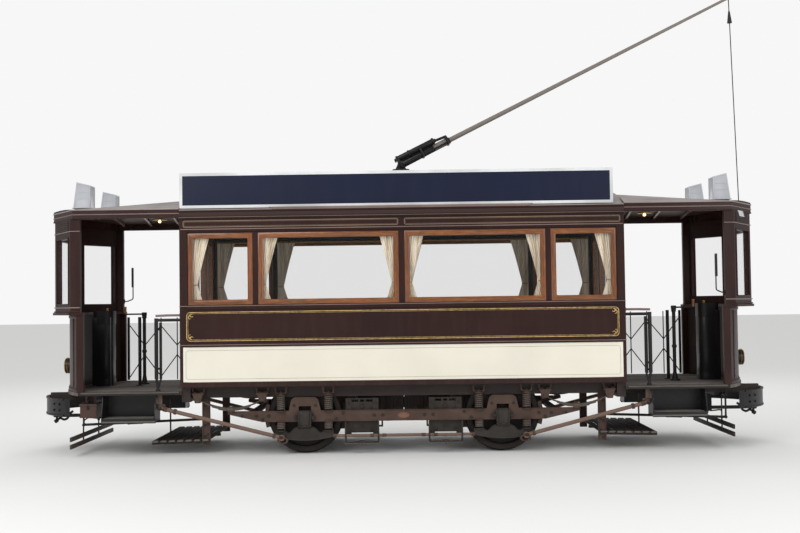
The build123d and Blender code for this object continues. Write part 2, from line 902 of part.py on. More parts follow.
# Mouldings: a rail over the rocker panels and one under the windows, with rounded noses
with BuildPart() as mouldings:
    for way in (-1, 1):
        for bottom, top in (
            (lower_moulding_bottom, lower_moulding_top),
            (belt_moulding_bottom, belt_moulding_top),
        ):
            with BuildSketch(side_plane(way, frame_face_y)):
                with Locations((0, (bottom + top) / 2)):
                    Rectangle(panel_length, top - bottom)
            extrude(amount=-way * (panel_thickness + moulding_proud))
    long_edges = mouldings.edges().filter_by(Axis.X).group_by(Axis.Y)
    fillet(long_edges[0] + long_edges[-1], radius=moulding_nose)
mouldings.part.label = "mouldings"
export_step(mouldings.part, "parts/mouldings.step")

# Sashes: a frame round each saloon window, in the opening of the side
with BuildPart() as sashes:
    for way in (-1, 1):
        for centre, width in windows:
            with BuildSketch(side_plane(way, frame_face_y - sash_thickness)):
                with Locations((centre, window_mid_z)):
                    Rectangle(width, window_height)
                    Rectangle(
                        width - 2 * sash_stile, window_height - 2 * sash_rail, mode=Mode.SUBTRACT
                    )
            extrude(amount=-way * sash_thickness)
sashes.part.label = "sashes"
export_step(sashes.part, "parts/sashes.step")

# Bulkheads: the saloon's end walls, each with a doorway and two windows
bulkhead_in_x = half_saloon - bulkhead_inset - bulkhead_thickness
ceiling_edge = cornice_bottom
ceiling_rise = roof_rise + cornice_top - roof_thickness - ceiling_edge
pane_inner_y = door_opening / 2 + 90
pane_outer_y = frame_back_y - 80
bulkhead_pane_bottom = window_bottom + 40
bulkhead_pane_top = window_top - 60
with BuildPart() as bulkheads:
    for sign in (-1, 1):
        with BuildSketch(Plane.YZ.offset(sign * bulkhead_in_x)):
            with BuildLine():
                Polyline(
                    (-frame_back_y, cornice_bottom),
                    (-frame_back_y, saloon_floor_top),
                    (frame_back_y, saloon_floor_top),
                    (frame_back_y, cornice_bottom),
                )
                ThreePointArc(
                    (frame_back_y, cornice_bottom),
                    (0, roof_crown - roof_thickness - 6),
                    (-frame_back_y, cornice_bottom),
                )
            make_face()
            with Locations((0, saloon_floor_top)):
                Rectangle(
                    door_opening,
                    door_height - 30,
                    align=(Align.CENTER, Align.MIN),
                    mode=Mode.SUBTRACT,
                )
            for way in (-1, 1):
                with Locations(
                    (
                        way * (pane_inner_y + pane_outer_y) / 2,
                        (bulkhead_pane_bottom + bulkhead_pane_top) / 2,
                    )
                ):
                    Rectangle(
                        pane_outer_y - pane_inner_y,
                        bulkhead_pane_top - bulkhead_pane_bottom,
                        mode=Mode.SUBTRACT,
                    )
        extrude(amount=sign * bulkhead_thickness)
bulkheads.part.label = "bulkheads"
export_step(bulkheads.part, "parts/bulkheads.step")

# Saloon doors: single leaves that slide on a rail inside each bulkhead
door_out_x = bulkhead_in_x - door_gap
door_in_x = door_out_x - door_thickness
door_bottom = saloon_floor_top + door_gap
door_top = saloon_floor_top + door_height
door_glass_bottom = window_bottom
for end, sign in ENDS:
    with BuildPart() as saloon_door:
        block(
            (sign * door_in_x, -door_width / 2, door_bottom),
            (sign * door_out_x, door_width / 2, door_top),
        )
        block(
            (sign * (door_in_x - 1), -door_width / 2 + 100, door_glass_bottom),
            (sign * (door_out_x + 1), door_width / 2 - 100, door_top - 110),
            mode=Mode.SUBTRACT,
        )
        for hanger_y in (-door_width / 2 + 90, door_width / 2 - 90):
            block(
                (sign * (door_in_x - 12), hanger_y - 25, door_top - 60),
                (sign * door_in_x, hanger_y + 25, door_top + 50.5),
            )
            block(
                (sign * door_in_x, hanger_y - 25, door_top + 30.5),
                (sign * (door_out_x - 4), hanger_y + 25, door_top + 50.5),
            )
    saloon_door.part.label = f"saloon_door_{end}"
    export_step(saloon_door.part, f"parts/saloon_door_{end}.step")

for end, sign in ENDS:
    with BuildPart() as door_pane:
        pane_x = (door_in_x + door_out_x) / 2 - glass_thickness / 2
        block(
            (sign * pane_x, -door_width / 2 + 100, door_glass_bottom),
            (sign * (pane_x + glass_thickness), door_width / 2 - 100, door_top - 110),
        )
    door_pane.part.label = f"door_pane_{end}"
    export_step(door_pane.part, f"parts/door_pane_{end}.step")

with BuildPart() as door_rails:
    for sign in (-1, 1):
        block(
            (sign * (bulkhead_in_x - 26), -door_width / 2 - 10, door_top + 6),
            (sign * bulkhead_in_x, frame_back_y - 10, door_top + 30),
        )
door_rails.part.label = "door_rails"
export_step(door_rails.part, "parts/door_rails.step")

# Saloon roof: an arched shell with a moulded cornice along each edge
with BuildPart() as saloon_roof:
    with BuildSketch(Plane.YZ.offset(-half_saloon)):
        with BuildLine():
            outer_arc = ThreePointArc((-side_y, cornice_top), (0, roof_crown), (side_y, cornice_top))
            Polyline(
                (side_y, cornice_top),
                (side_y + cornice_proud, cornice_top),
                (side_y + cornice_proud, cornice_top - 24),
                (side_y + 6, cornice_bottom + 30),
                (side_y + 6, cornice_bottom),
                (frame_back_y, cornice_bottom),
            )
            inner_arc = ThreePointArc(
                (frame_back_y, cornice_bottom),
                (0, roof_crown - roof_thickness),
                (-frame_back_y, cornice_bottom),
            )
            Polyline(
                (-frame_back_y, cornice_bottom),
                (-side_y - 6, cornice_bottom),
                (-side_y - 6, cornice_bottom + 30),
                (-side_y - cornice_proud, cornice_top - 24),
                (-side_y - cornice_proud, cornice_top),
                (-side_y, cornice_top),
            )
        make_face()
    extrude(amount=saloon_length)
saloon_roof.part.label = "saloon_roof"
export_step(saloon_roof.part, "parts/saloon_roof.step")

# Canopies: domed roofs over the platforms, with a deep fascia that follows the end screen
canopy_y = side_y + canopy_overhang
canopy_front_x = screen_front_x + canopy_overhang
canopy_bend_x = screen_corner_x - 30
dome_planes = (half_saloon, (half_saloon + canopy_front_x) / 2, canopy_front_x + 60)
dome_rises = (
    canopy_rise_inner,
    canopy_rise_inner * 0.45 + canopy_rise_outer * 0.55 + 20,
    canopy_rise_outer,
)
with BuildPart() as canopy_hollow:
    for x, rise in zip(dome_planes, dome_rises):
        inner_y = canopy_y - fascia_thickness
        with BuildSketch(Plane.YZ.offset(x)):
            with BuildLine():
                Polyline(
                    (inner_y, canopy_fascia_top - roof_thickness),
                    (inner_y, canopy_fascia_bottom - 20),
                    (-inner_y, canopy_fascia_bottom - 20),
                    (-inner_y, canopy_fascia_top - roof_thickness),
                )
                ThreePointArc(
                    (-inner_y, canopy_fascia_top - roof_thickness),
                    (0, canopy_fascia_top + rise - roof_thickness),
                    (inner_y, canopy_fascia_top - roof_thickness),
                )
            make_face()
    loft()
    with BuildSketch(Plane.XY.offset(canopy_fascia_bottom - 40)):
        with BuildLine():
            Polyline(
                ((half_saloon - 10), inner_y + 5),
                ((canopy_bend_x - 20), inner_y + 5),
                ((canopy_front_x - fascia_thickness), screen_front_half - 14),
                ((canopy_front_x - fascia_thickness), -screen_front_half + 14),
                ((canopy_bend_x - 20), -inner_y - 5),
                ((half_saloon - 10), -inner_y - 5),
                close=True,
            )
        make_face()
    extrude(amount=600, mode=Mode.INTERSECT)
with BuildPart() as canopy_end:
    for x, rise in zip(dome_planes, dome_rises):
        with BuildSketch(Plane.YZ.offset(x)):
            with BuildLine():
                Polyline(
                    (canopy_y, canopy_fascia_top),
                    (canopy_y, canopy_fascia_bottom),
                    (-canopy_y, canopy_fascia_bottom),
                    (-canopy_y, canopy_fascia_top),
                )
                ThreePointArc(
                    (-canopy_y, canopy_fascia_top),
                    (0, canopy_fascia_top + rise),
                    (canopy_y, canopy_fascia_top),
                )
            make_face()
    loft()
    with BuildSketch(Plane.XY.offset(canopy_fascia_bottom - 40)):
        with BuildLine():
            Polyline(
                (half_saloon, canopy_y + 5),
                (canopy_bend_x, canopy_y + 5),
                (canopy_front_x, screen_front_half),
                (canopy_front_x, -screen_front_half),
                (canopy_bend_x, -canopy_y - 5),
                (half_saloon, -canopy_y - 5),
                close=True,
            )
        make_face()
    extrude(amount=600, mode=Mode.INTERSECT)
    add(canopy_hollow.part, mode=Mode.SUBTRACT)
with BuildPart() as canopies:
    add(canopy_end.part)
    mirror(canopy_end.part, about=Plane.YZ)
canopies.part.label = "canopies"
export_step(canopies.part, "parts/canopies.step")

# End screens: posts, belt and head rail round the platform's front, with three windows
angled_run = Vector(screen_front_x - screen_corner_x, screen_front_half - side_y, 0)
angled_mid = Vector((screen_front_x + screen_corner_x) / 2, (screen_front_half + side_y) / 2, 0)
angled_width = angled_run.length - 2 * screen_post
screen_mid_z = (screen_glass_bottom + screen_glass_top) / 2
screen_glass_height = screen_glass_top - screen_glass_bottom
front_pane_width = 2 * screen_front_half - 2 * screen_post
with BuildPart() as end_screens:
    for sign in (-1, 1):
        with BuildSketch(Plane.XY.offset(screen_bottom)):
            with BuildLine():
                Polyline(
                    (sign * corner_post_inner_x, side_y),
                    (sign * screen_corner_x, side_y),
                    (sign * screen_front_x, screen_front_half),
                    (sign * screen_front_x, -screen_front_half),
                    (sign * screen_corner_x, -side_y),
                    (sign * corner_post_inner_x, -side_y),
                    (sign * corner_post_inner_x, -side_y + screen_thickness),
                    (sign * (screen_corner_x - 33), -side_y + screen_thickness),
                    (sign * (screen_front_x - screen_thickness), -screen_front_half + 18),
                    (sign * (screen_front_x - screen_thickness), screen_front_half - 18),
                    (sign * (screen_corner_x - 33), side_y - screen_thickness),
                    (sign * corner_post_inner_x, side_y - screen_thickness),
                    close=True,
                )
            make_face()
        extrude(amount=canopy_fascia_bottom - screen_bottom)
        with BuildSketch(Plane.YZ.offset(sign * (screen_front_x - 100))):
            with Locations((0, screen_mid_z)):
                Rectangle(front_pane_width, screen_glass_height)
        extrude(amount=sign * 200, mode=Mode.SUBTRACT)
        for way in (-1, 1):
            run = Vector(sign * angled_run.X, way * angled_run.Y, 0)
            pane_plane = Plane(
                origin=(sign * angled_mid.X, way * angled_mid.Y, screen_mid_z),
                x_dir=run,
                z_dir=run.cross(Vector(0, 0, 1)),
            )
            with BuildSketch(pane_plane):
                Rectangle(angled_width, screen_glass_height)
            extrude(amount=150, both=True, mode=Mode.SUBTRACT)
end_screens.part.label = "end_screens"
export_step(end_screens.part, "parts/end_screens.step")

# Window glass: the panes of the saloon sides, the bulkheads and the end screens
glass_y = frame_face_y - sash_thickness / 2 - glass_thickness / 2
bulkhead_pane_x = bulkhead_in_x + bulkhead_thickness / 2 - glass_thickness / 2
with BuildPart() as window_glass:
    for way in (-1, 1):
        for centre, width in windows:
            half = width / 2 - sash_stile
            block(
                (centre - half, way * glass_y, window_bottom + sash_rail),
                (centre + half, way * (glass_y + glass_thickness), window_top - sash_rail),
            )
        for sign in (-1, 1):
            block(
                (sign * bulkhead_pane_x, way * pane_inner_y, bulkhead_pane_bottom),
                (
                    sign * (bulkhead_pane_x + glass_thickness),
                    way * pane_outer_y,
                    bulkhead_pane_top,
                ),
            )
    for sign in (-1, 1):
        mid_x = screen_front_x - screen_thickness / 2
        block(
            (sign * (mid_x - 3), -front_pane_width / 2, screen_glass_bottom),
            (sign * (mid_x + 3), front_pane_width / 2, screen_glass_top),
        )
        for way in (-1, 1):
            run = Vector(sign * angled_run.X, way * angled_run.Y, 0)
            inward = Vector(-sign * abs(angled_run.Y), -way * angled_run.X, 0).normalized()
            centre = Vector(sign * angled_mid.X, way * angled_mid.Y, screen_mid_z)
            pane_origin = centre + inward * (screen_thickness / 2)
            with BuildSketch(Plane(origin=pane_origin, x_dir=run, z_dir=inward)):
                Rectangle(angled_width, screen_glass_height)
            extrude(amount=glass_thickness / 2, both=True)
window_glass.part.label = "window_glass"
export_step(window_glass.part, "parts/window_glass.step")

# Dashes: round sheet fronts below the screens, with corner pillars and a ledge on top
dash_centre_x = dash_front_x - dash_radius
dash_edge_y = side_y - 25
dash_edge_x = dash_centre_x + sqrt(dash_radius**2 - dash_edge_y**2)
dash_in_radius = dash_radius - dash_thickness
dash_in_edge_x = dash_centre_x + sqrt(dash_in_radius**2 - dash_edge_y**2)
ledge_bottom = screen_bottom - ledge_thickness
with BuildPart() as dashes:
    for sign in (-1, 1):
        with BuildSketch(Plane.XY.offset(platform_floor_top)):
            with BuildLine():
                ThreePointArc(
                    (sign * dash_edge_x, dash_edge_y),
                    (sign * dash_front_x, 0),
                    (sign * dash_edge_x, -dash_edge_y),
                )
                Line((sign * dash_edge_x, -dash_edge_y), (sign * dash_in_edge_x, -dash_edge_y))
                ThreePointArc(
                    (sign * dash_in_edge_x, -dash_edge_y),
                    (sign * (dash_front_x - dash_thickness), 0),
                    (sign * dash_in_edge_x, dash_edge_y),
                )
                Line((sign * dash_in_edge_x, dash_edge_y), (sign * dash_edge_x, dash_edge_y))
            make_face()
        extrude(amount=ledge_bottom - platform_floor_top)
        for way in (-1, 1):
            block(
                (sign * corner_pillar_inner_x, way * (side_y - 62), platform_floor_top),
                (sign * (dash_edge_x + 8), way * (side_y - 4), ledge_bottom),
            )
dashes.part.label = "dashes"
export_step(dashes.part, "parts/dashes.step")

# Ledges on top of the dashes, under the end screens
ledge_x = screen_front_x + ledge_proud
ledge_corner_x = screen_corner_x + ledge_proud * 0.8
ledge_front_half = screen_front_half + ledge_proud * 0.4
with BuildPart() as screen_ledges:
    for sign in (-1, 1):
        with BuildSketch(Plane.XY.offset(ledge_bottom)):
            with BuildLine():
                Polyline(
                    (sign * corner_pillar_inner_x, side_y + 10),
                    (sign * ledge_corner_x, side_y + 10),
                    (sign * ledge_x, ledge_front_half),
                    (sign * ledge_x, -ledge_front_half),
                    (sign * ledge_corner_x, -side_y - 10),
                    (sign * corner_pillar_inner_x, -side_y - 10),
                    (sign * corner_pillar_inner_x, -side_y + 100),
                )
                ThreePointArc(
                    (sign * corner_pillar_inner_x, -side_y + 100),
                    (sign * (dash_front_x - ledge_inset), 0),
                    (sign * corner_pillar_inner_x, side_y - 100),
                )
                Line(
                    (sign * corner_pillar_inner_x, side_y - 100),
                    (sign * corner_pillar_inner_x, side_y + 10),
                )
            make_face()
        extrude(amount=ledge_thickness)
screen_ledges.part.label = "screen_ledges"
export_step(screen_ledges.part, "parts/screen_ledges.step")

# Platform floors: level with the entrances and round at the front, under the dash
floor_lip = 22
floor_front_x = dash_front_x + floor_lip
floor_corner_x = corner_pillar_inner_x + 60
with BuildPart() as platform_floors:
    for sign in (-1, 1):
        with BuildSketch(Plane.XY.offset(platform_floor_bottom)):
            with BuildLine():
                Polyline(
                    (sign * floor_corner_x, -side_y),
                    (sign * half_saloon, -side_y),
                    (sign * half_saloon, side_y),
                    (sign * floor_corner_x, side_y),
                )
                ThreePointArc(
                    (sign * floor_corner_x, side_y),
                    (sign * floor_front_x, 0),
                    (sign * floor_corner_x, -side_y),
                )
            make_face()
        extrude(amount=platform_floor_thickness)
platform_floors.part.label = "platform_floors"
export_step(platform_floors.part, "parts/platform_floors.step")

# Steps: a tread hung under each entrance between two side plates, with a closed back
with BuildPart() as steps:
    for sign in (-1, 1):
        for way in (-1, 1):
            back_y = side_y - step_depth
            block(
                (sign * step_inner_x, way * back_y, step_tread_top - step_tread_thickness),
                (sign * step_outer_x, way * (side_y - 4), step_tread_top),
            )
            block(
                (sign * step_inner_x, way * back_y, step_tread_top),
                (sign * step_outer_x, way * (back_y + step_plate), platform_floor_bottom),
            )
            for plate_x in (step_inner_x, step_outer_x - step_plate):
                with BuildSketch(Plane.YZ.offset(sign * plate_x)):
                    with BuildLine():
                        Polyline(
                            (way * back_y, step_tread_top),
                            (way * (side_y - 4), step_tread_top),
                            (way * (side_y - 4), step_tread_top + 60),
                            (way * (side_y - 60), platform_floor_bottom),
                            (way * back_y, platform_floor_bottom),
                            close=True,
                        )
                    make_face()
                extrude(amount=sign * step_plate)
steps.part.label = "steps"
export_step(steps.part, "parts/steps.step")

# Tool box: hung by two straps under the near corner of the left platform
tool_box_outer_x = half_saloon + 1177
tool_box_length = 191
tool_box_depth = 190
tool_box_bottom = 453
tool_box_top = 602
tool_strap_width = 26
tool_strap_thickness = 8
with BuildPart() as tool_box:
    box_front_y = side_y - 90
    block(
        (-tool_box_outer_x, -box_front_y, tool_box_bottom),
        (tool_box_length - tool_box_outer_x, tool_box_depth - box_front_y, tool_box_top),
    )
    block(
        (-tool_box_outer_x - 5, -box_front_y - 5, tool_box_top),
        (tool_box_length - tool_box_outer_x + 5, tool_box_depth - box_front_y + 5, tool_box_top + 6),
    )
    for strap_x in (30, tool_box_length - 30 - tool_strap_width):
        strap_y = tool_box_depth / 2 - box_front_y
        block(
            (strap_x - tool_box_outer_x, strap_y, tool_box_top),
            (
                strap_x - tool_box_outer_x + tool_strap_width,
                strap_y + tool_strap_thickness,
                platform_floor_bottom,
            ),
        )
tool_box.part.label = "tool_box"
export_step(tool_box.part, "parts/tool_box.step")

# Bumpers: flat bands bent round the ends, on brackets under the platform bearers
bumper_bracket_x = screen_corner_x - 9
bumper_centre_x = bumper_front_x - bumper_radius
bumper_edge_x = bumper_centre_x + sqrt(bumper_radius**2 - bumper_half_width**2)
bumper_in_radius = bumper_radius - bumper_thickness
bumper_in_edge_x = bumper_centre_x + sqrt(bumper_in_radius**2 - bumper_half_width**2)
with BuildPart() as bumpers:
    for sign in (-1, 1):
        with BuildSketch(Plane.XY.offset(bumper_bottom)):
            with BuildLine():
                ThreePointArc(
                    (sign * bumper_edge_x, bumper_half_width),
                    (sign * bumper_front_x, 0),
                    (sign * bumper_edge_x, -bumper_half_width),
                )
                Line(
                    (sign * bumper_edge_x, -bumper_half_width),
                    (sign * bumper_in_edge_x, -bumper_half_width),
                )
                ThreePointArc(
                    (sign * bumper_in_edge_x, -bumper_half_width),
                    (sign * (bumper_front_x - bumper_thickness), 0),
                    (sign * bumper_in_edge_x, bumper_half_width),
                )
                Line(
                    (sign * bumper_in_edge_x, bumper_half_width),
                    (sign * bumper_edge_x, bumper_half_width),
                )
            make_face()
        extrude(amount=bumper_top - bumper_bottom)
        for way in (-1, 1):
            bracket_end = bumper_centre_x + sqrt(
                (bumper_radius - 5) ** 2 - (platform_bearer_y + 30) ** 2
            )
            block(
                (sign * bumper_bracket_x, way * (platform_bearer_y - 30), platform_bearer_bottom - 70),
                (sign * bracket_end, way * (platform_bearer_y + 30), platform_bearer_bottom),
            )
bumpers.part.label = "bumpers"
export_step(bumpers.part, "parts/bumpers.step")

# Drawbars: a flat bar with a pin hole under each bumper, in a pocket under the platform
pocket_x = screen_corner_x - 109
with BuildPart() as drawbars:
    for sign in (-1, 1):
        block(
            (sign * pocket_x, -platform_bearer_y - 35, platform_bearer_bottom - 40),
            (sign * (pocket_x + 60), platform_bearer_y + 35, platform_bearer_bottom),
        )
        block(
            (sign * pocket_x, -60, drawbar_z - 40),
            (sign * (pocket_x + 60), 60, platform_bearer_bottom - 40),
        )
        block(
            (sign * (pocket_x + 60), -35, drawbar_z - drawbar_thickness / 2),
            (sign * (drawbar_end_x - 55), 35, drawbar_z + drawbar_thickness / 2),
        )
        with Locations((sign * (drawbar_end_x - 55), 0, drawbar_z)):
            Cylinder(55, drawbar_thickness)
        with Locations((sign * (drawbar_end_x - 55), 0, drawbar_z)):
            Cylinder(drawbar_pin_hole / 2, drawbar_thickness + 2, mode=Mode.SUBTRACT)
drawbars.part.label = "drawbars"
export_step(drawbars.part, "parts/drawbars.step")

# Headlamps: round drums on the dashes
lamp_radius = headlamp_diameter / 2
with BuildPart() as headlamps:
    for sign in (-1, 1):
        with BuildSketch(Plane((0, 0, headlamp_z), x_dir=(sign, 0, 0), z_dir=(0, -sign, 0))):
            with BuildLine():
                Polyline(
                    (dash_front_x + 0.2, 0),
                    (dash_front_x + 0.2, lamp_radius * 0.62),
                    (headlamp_front_x - 70, lamp_radius * 0.95),
                    (headlamp_front_x - 30, lamp_radius * 0.95),
                    (headlamp_front_x - 30, lamp_radius),
                    (headlamp_front_x, lamp_radius),
                    (headlamp_front_x, lamp_radius - 12),
                    (headlamp_front_x - 14, lamp_radius - 12),
                    (headlamp_front_x - 14, 0),
                    close=True,
                )
            make_face()
        revolve(axis=Axis((0, 0, headlamp_z), (1, 0, 0)))
headlamps.part.label = "headlamps"
export_step(headlamps.part, "parts/headlamps.step")

with BuildPart() as headlamp_lenses:
    for sign in (-1, 1):
        rod(
            (sign * (headlamp_front_x - 14), 0, headlamp_z),
            (sign * (headlamp_front_x - 6), 0, headlamp_z),
            lamp_radius - 12.3,
        )
headlamp_lenses.part.label = "headlamp_lenses"
export_step(headlamp_lenses.part, "parts/headlamp_lenses.step")

# Benches: one along each side, a boarded box with a seat and a sloping back
bench_half = bulkhead_in_x - bench_end_gap
seat_top = saloon_floor_top + bench_seat_height
with BuildPart() as benches:
    for way in (-1, 1):
        block(
            (-bench_half, way * bench_front_y, seat_top - bench_seat_thickness),
            (bench_half, way * frame_back_y, seat_top),
        )
        block(
            (-bench_half, way * (bench_front_y + 20), saloon_floor_top),
            (
                bench_half,
                way * (bench_front_y + 20 + bench_board),
                seat_top - bench_seat_thickness,
            ),
        )
        for sign in (-1, 1):
            block(
                (sign * bench_half, way * (bench_front_y + 20), saloon_floor_top),
                (
                    sign * (bench_half - bench_board),
                    way * frame_back_y,
                    seat_top - bench_seat_thickness,
                ),
            )
        with BuildSketch(Plane.YZ.offset(-bench_half)):
            with BuildLine():
                Polyline(
                    (way * (frame_back_y - 90), seat_top),
                    (way * frame_back_y, seat_top),
                    (way * frame_back_y, belt_moulding_bottom),
                    (way * (frame_back_y - 30), belt_moulding_bottom),
                    close=True,
                )
            make_face()
        extrude(amount=2 * bench_half)
benches.part.label = "benches"
export_step(benches.part, "parts/benches.step")

# Curtains: gathered cloth beside the saloon windows, and the rails that carry it
curtain_width = 230
curtain_depth = 26
curtain_door_gap = 20
curtain_top = window_top - 20
curtain_bottom = window_bottom - 10
rail_y = frame_back_y - 22
curtain_rail_half = door_in_x - curtain_door_gap - 10
curtain_reach = door_in_x - curtain_door_gap - curtain_width / 2
curtain_places = []
for centre, width in windows:
    for edge in (-1, 1):
        place = centre + edge * (width - curtain_width) / 2
        curtain_places.append(max(-curtain_reach, min(curtain_reach, place)))
with BuildPart() as curtain_rails:
    for way in (-1, 1):
        rod(
            (-curtain_rail_half, way * rail_y, curtain_top + 12),
            (curtain_rail_half, way * rail_y, curtain_top + 12),
            9,
        )
        for x in (-curtain_rail_half, 0, curtain_rail_half):
            block(
                (x - 10, way * (rail_y - 14), curtain_top + 3),
                (x + 10, way * frame_back_y, curtain_top + 28),
            )
curtain_rails.part.label = "curtain_rails"
export_step(curtain_rails.part, "parts/curtain_rails.step")

with BuildPart() as curtains:
    for way in (-1, 1):
        for x in curtain_places:
            block(
                (x - curtain_width / 2, way * (rail_y - curtain_depth / 2), curtain_bottom),
                (x + curtain_width / 2, way * (rail_y + curtain_depth / 2 - 5), curtain_top + 3 - seat_gap),
            )
curtains.part.label = "curtains"
export_step(curtains.part, "parts/curtains.step")

# Controllers: upright cabinets with a handle on top, one to each platform
with BuildPart() as controllers:
    for sign in (-1, 1):
        middle_y = -sign * controller_centre_y
        block(
            (sign * controller_x, middle_y - controller_width / 2, platform_floor_top),
            (sign * (controller_x + controller_depth), middle_y + controller_width / 2, controller_top),
        )
    inner_edges = [
        edge
        for edge in controllers.edges().filter_by(Axis.Z)
        if abs(edge.center().X) < controller_x + 1
    ]
    fillet(inner_edges, radius=controller_round)
    for sign in (-1, 1):
        middle_y = -sign * controller_centre_y
        shaft_x = sign * (controller_x + controller_depth / 2)
        rod((shaft_x, middle_y, controller_top), (shaft_x, middle_y, controller_top + 40), 18)
        block(
            (shaft_x - 14, middle_y - 10, controller_top + 40),
            (shaft_x - sign * controller_lever, middle_y + 10, controller_top + 56),
        )
controllers.part.label = "controllers"
export_step(controllers.part, "parts/controllers.step")

# Hand brake columns, with a crank on top
with BuildPart() as brake_columns:
    for sign in (-1, 1):
        x = sign * brake_column_x
        y = -sign * brake_column_y
        rod((x, y, platform_floor_top), (x, y, brake_column_top), brake_column_diameter / 2)
        rod((x, y, platform_floor_top), (x, y, platform_floor_top + 16), 60)
        rod((x, y, brake_column_top), (x, y, brake_column_top + 34), 34)
        crank_z = brake_column_top + 17
        grip_x = x + sign * (brake_crank - 12)
        rod((x + sign * brake_crank, y, crank_z), (x, y, crank_z), 12)
        rod((grip_x, y, crank_z), (grip_x, y, crank_z + brake_grip_height), 14)
brake_columns.part.label = "brake_columns"
export_step(brake_columns.part, "parts/brake_columns.step")

# Posts and rails of the platforms, with one at the floor's edge beside each folded gate
stanchion_y = side_y - 30
stanchion_foot_offset = 18
stanchion_foot_height = 30
fork_z = platform_floor_top + 145
gate_pack_x = stanchion_x - 50
with BuildPart() as platform_posts:
    for sign in (-1, 1):
        x = sign * platform_post_x
        rod((x, 0, platform_floor_top), (x, 0, platform_post_top), platform_post_diameter / 2)
        rod((x, 0, platform_floor_top), (x, 0, platform_floor_top + 14), 48)
        x = sign * stanchion_x
        radius = stanchion_diameter / 2
        foot_x = sign * (stanchion_x - stanchion_foot_offset)
        foot_top = platform_floor_top + stanchion_foot_height
        rod((x, -stanchion_y, fork_z), (x, -stanchion_y, gate_rail_top), radius)
        rod((foot_x, -stanchion_y, platform_floor_top), (foot_x, -stanchion_y, foot_top), radius * 1.2)
        rod((foot_x, -stanchion_y, foot_top - 4), (x, -stanchion_y, fork_z + 6), radius * 0.7)
        rod(
            (foot_x, -stanchion_y, foot_top - 4),
            (sign * gate_pack_x, -stanchion_y, fork_z - 2),
            radius * 0.5,
        )
        rod(
            (sign * half_saloon, -stanchion_y, gate_rail_top - radius),
            (x, -stanchion_y, gate_rail_top - radius),
            radius * 0.8,
        )
platform_posts.part.label = "platform_posts"
export_step(platform_posts.part, "parts/platform_posts.step")

# Folding gates on the far side, drawn out: a lead stile that slides, and the lattice behind it
# Each row of links zigzags between two heights above the floor, and the rows mirror each other
lattice_rows = ((465, 725), (340, 55))
lattice_bottom = platform_floor_top + gate_bottom_gap
lattice_in_x = half_saloon + picket_width / 2 + seat_gap
stile_x = corner_pillar_inner_x - 30
picket_pitch = (stile_x - lattice_in_x) / (picket_count + 1)
for end, sign in ENDS:
    with BuildPart() as gate_stile:
        block(
            (sign * (stile_x - stile_half), gate_y - stile_half, lattice_bottom),
            (sign * (stile_x + stile_half), gate_y + stile_half, gate_rail_top),
        )
    gate_stile.part.label = f"gate_stile_{end}"
    export_step(gate_stile.part, f"parts/gate_stile_{end}.step")

    with BuildPart() as gate_lattice:
        for picket in range(picket_count + 1):
            x = lattice_in_x + picket * picket_pitch
            block(
                (sign * (x - picket_width / 2), gate_y, lattice_bottom),
                (sign * (x + picket_width / 2), gate_y + picket_thickness, gate_rail_top - 10),
            )
        for first_row, second_row in lattice_rows:
            for bay in range(picket_count + 1):
                x_low = lattice_in_x + bay * picket_pitch
                x_high = x_low + picket_pitch
                if bay == picket_count:
                    x_high = stile_x - stile_half - seat_gap
                forward = bay % 2 == 0
                z_low = platform_floor_top + (first_row if forward else second_row)
                z_high = platform_floor_top + (second_row if forward else first_row)
                half = link_width / 2
                with BuildSketch(Plane.XZ.offset(-gate_y)):
                    with BuildLine():
                        Polyline(
                            (sign * x_low, z_low - half),
                            (sign * x_high, z_high - half),
                            (sign * x_high, z_high + half),
                            (sign * x_low, z_low + half),
                            close=True,
                        )
                    make_face()
                extrude(amount=link_thickness)
    gate_lattice.part.label = f"gate_lattice_{end}"
    export_step(gate_lattice.part, f"parts/gate_lattice_{end}.step")

# Folding gates on the near side, pushed together and tied to the stanchions
pack_pitch = 6
pack_thickness = 4
pack_half_depth = 11
pack_tie_heights = (250, 700)
pack_tie_height = 24
with BuildPart() as folded_gates:
    pack_half = picket_count / 2 * pack_pitch + pack_thickness / 2
    for sign in (-1, 1):
        for picket in range(picket_count + 1):
            x = gate_pack_x + (picket - picket_count / 2) * pack_pitch
            block(
                (sign * (x - pack_thickness / 2), -stanchion_y - pack_half_depth, fork_z),
                (
                    sign * (x + pack_thickness / 2),
                    -stanchion_y + pack_half_depth,
                    gate_rail_top - stanchion_diameter - 4,
                ),
            )
        for height in pack_tie_heights:
            tie_z = platform_floor_top + height
            block(
                (sign * (gate_pack_x - pack_half), -stanchion_y - 3, tie_z),
                (
                    sign * (stanchion_x - stanchion_diameter / 2 - seat_gap),
                    -stanchion_y + 3,
                    tie_z + pack_tie_height,
                ),
            )
folded_gates.part.label = "folded_gates"
export_step(folded_gates.part, "parts/folded_gates.step")

# Signboards: long boards along both edges of the roof, on brackets
board_back_y = signboard_y - signboard_thickness / 2
signboard_bottom = roof_centre_z + sqrt(roof_radius**2 - board_back_y**2) + signboard_seat
signboard_top = signboard_bottom + signboard_height
board_low_x = -half_saloon
board_high_x = board_low_x + signboard_length
with BuildPart() as signboards:
    for way in (-1, 1):
        block(
            (-way * board_low_x, way * (signboard_y - signboard_thickness / 2), signboard_bottom),
            (-way * board_high_x, way * (signboard_y + signboard_thickness / 2), signboard_top),
        )
signboards.part.label = "signboards"
export_step(signboards.part, "parts/signboards.step")

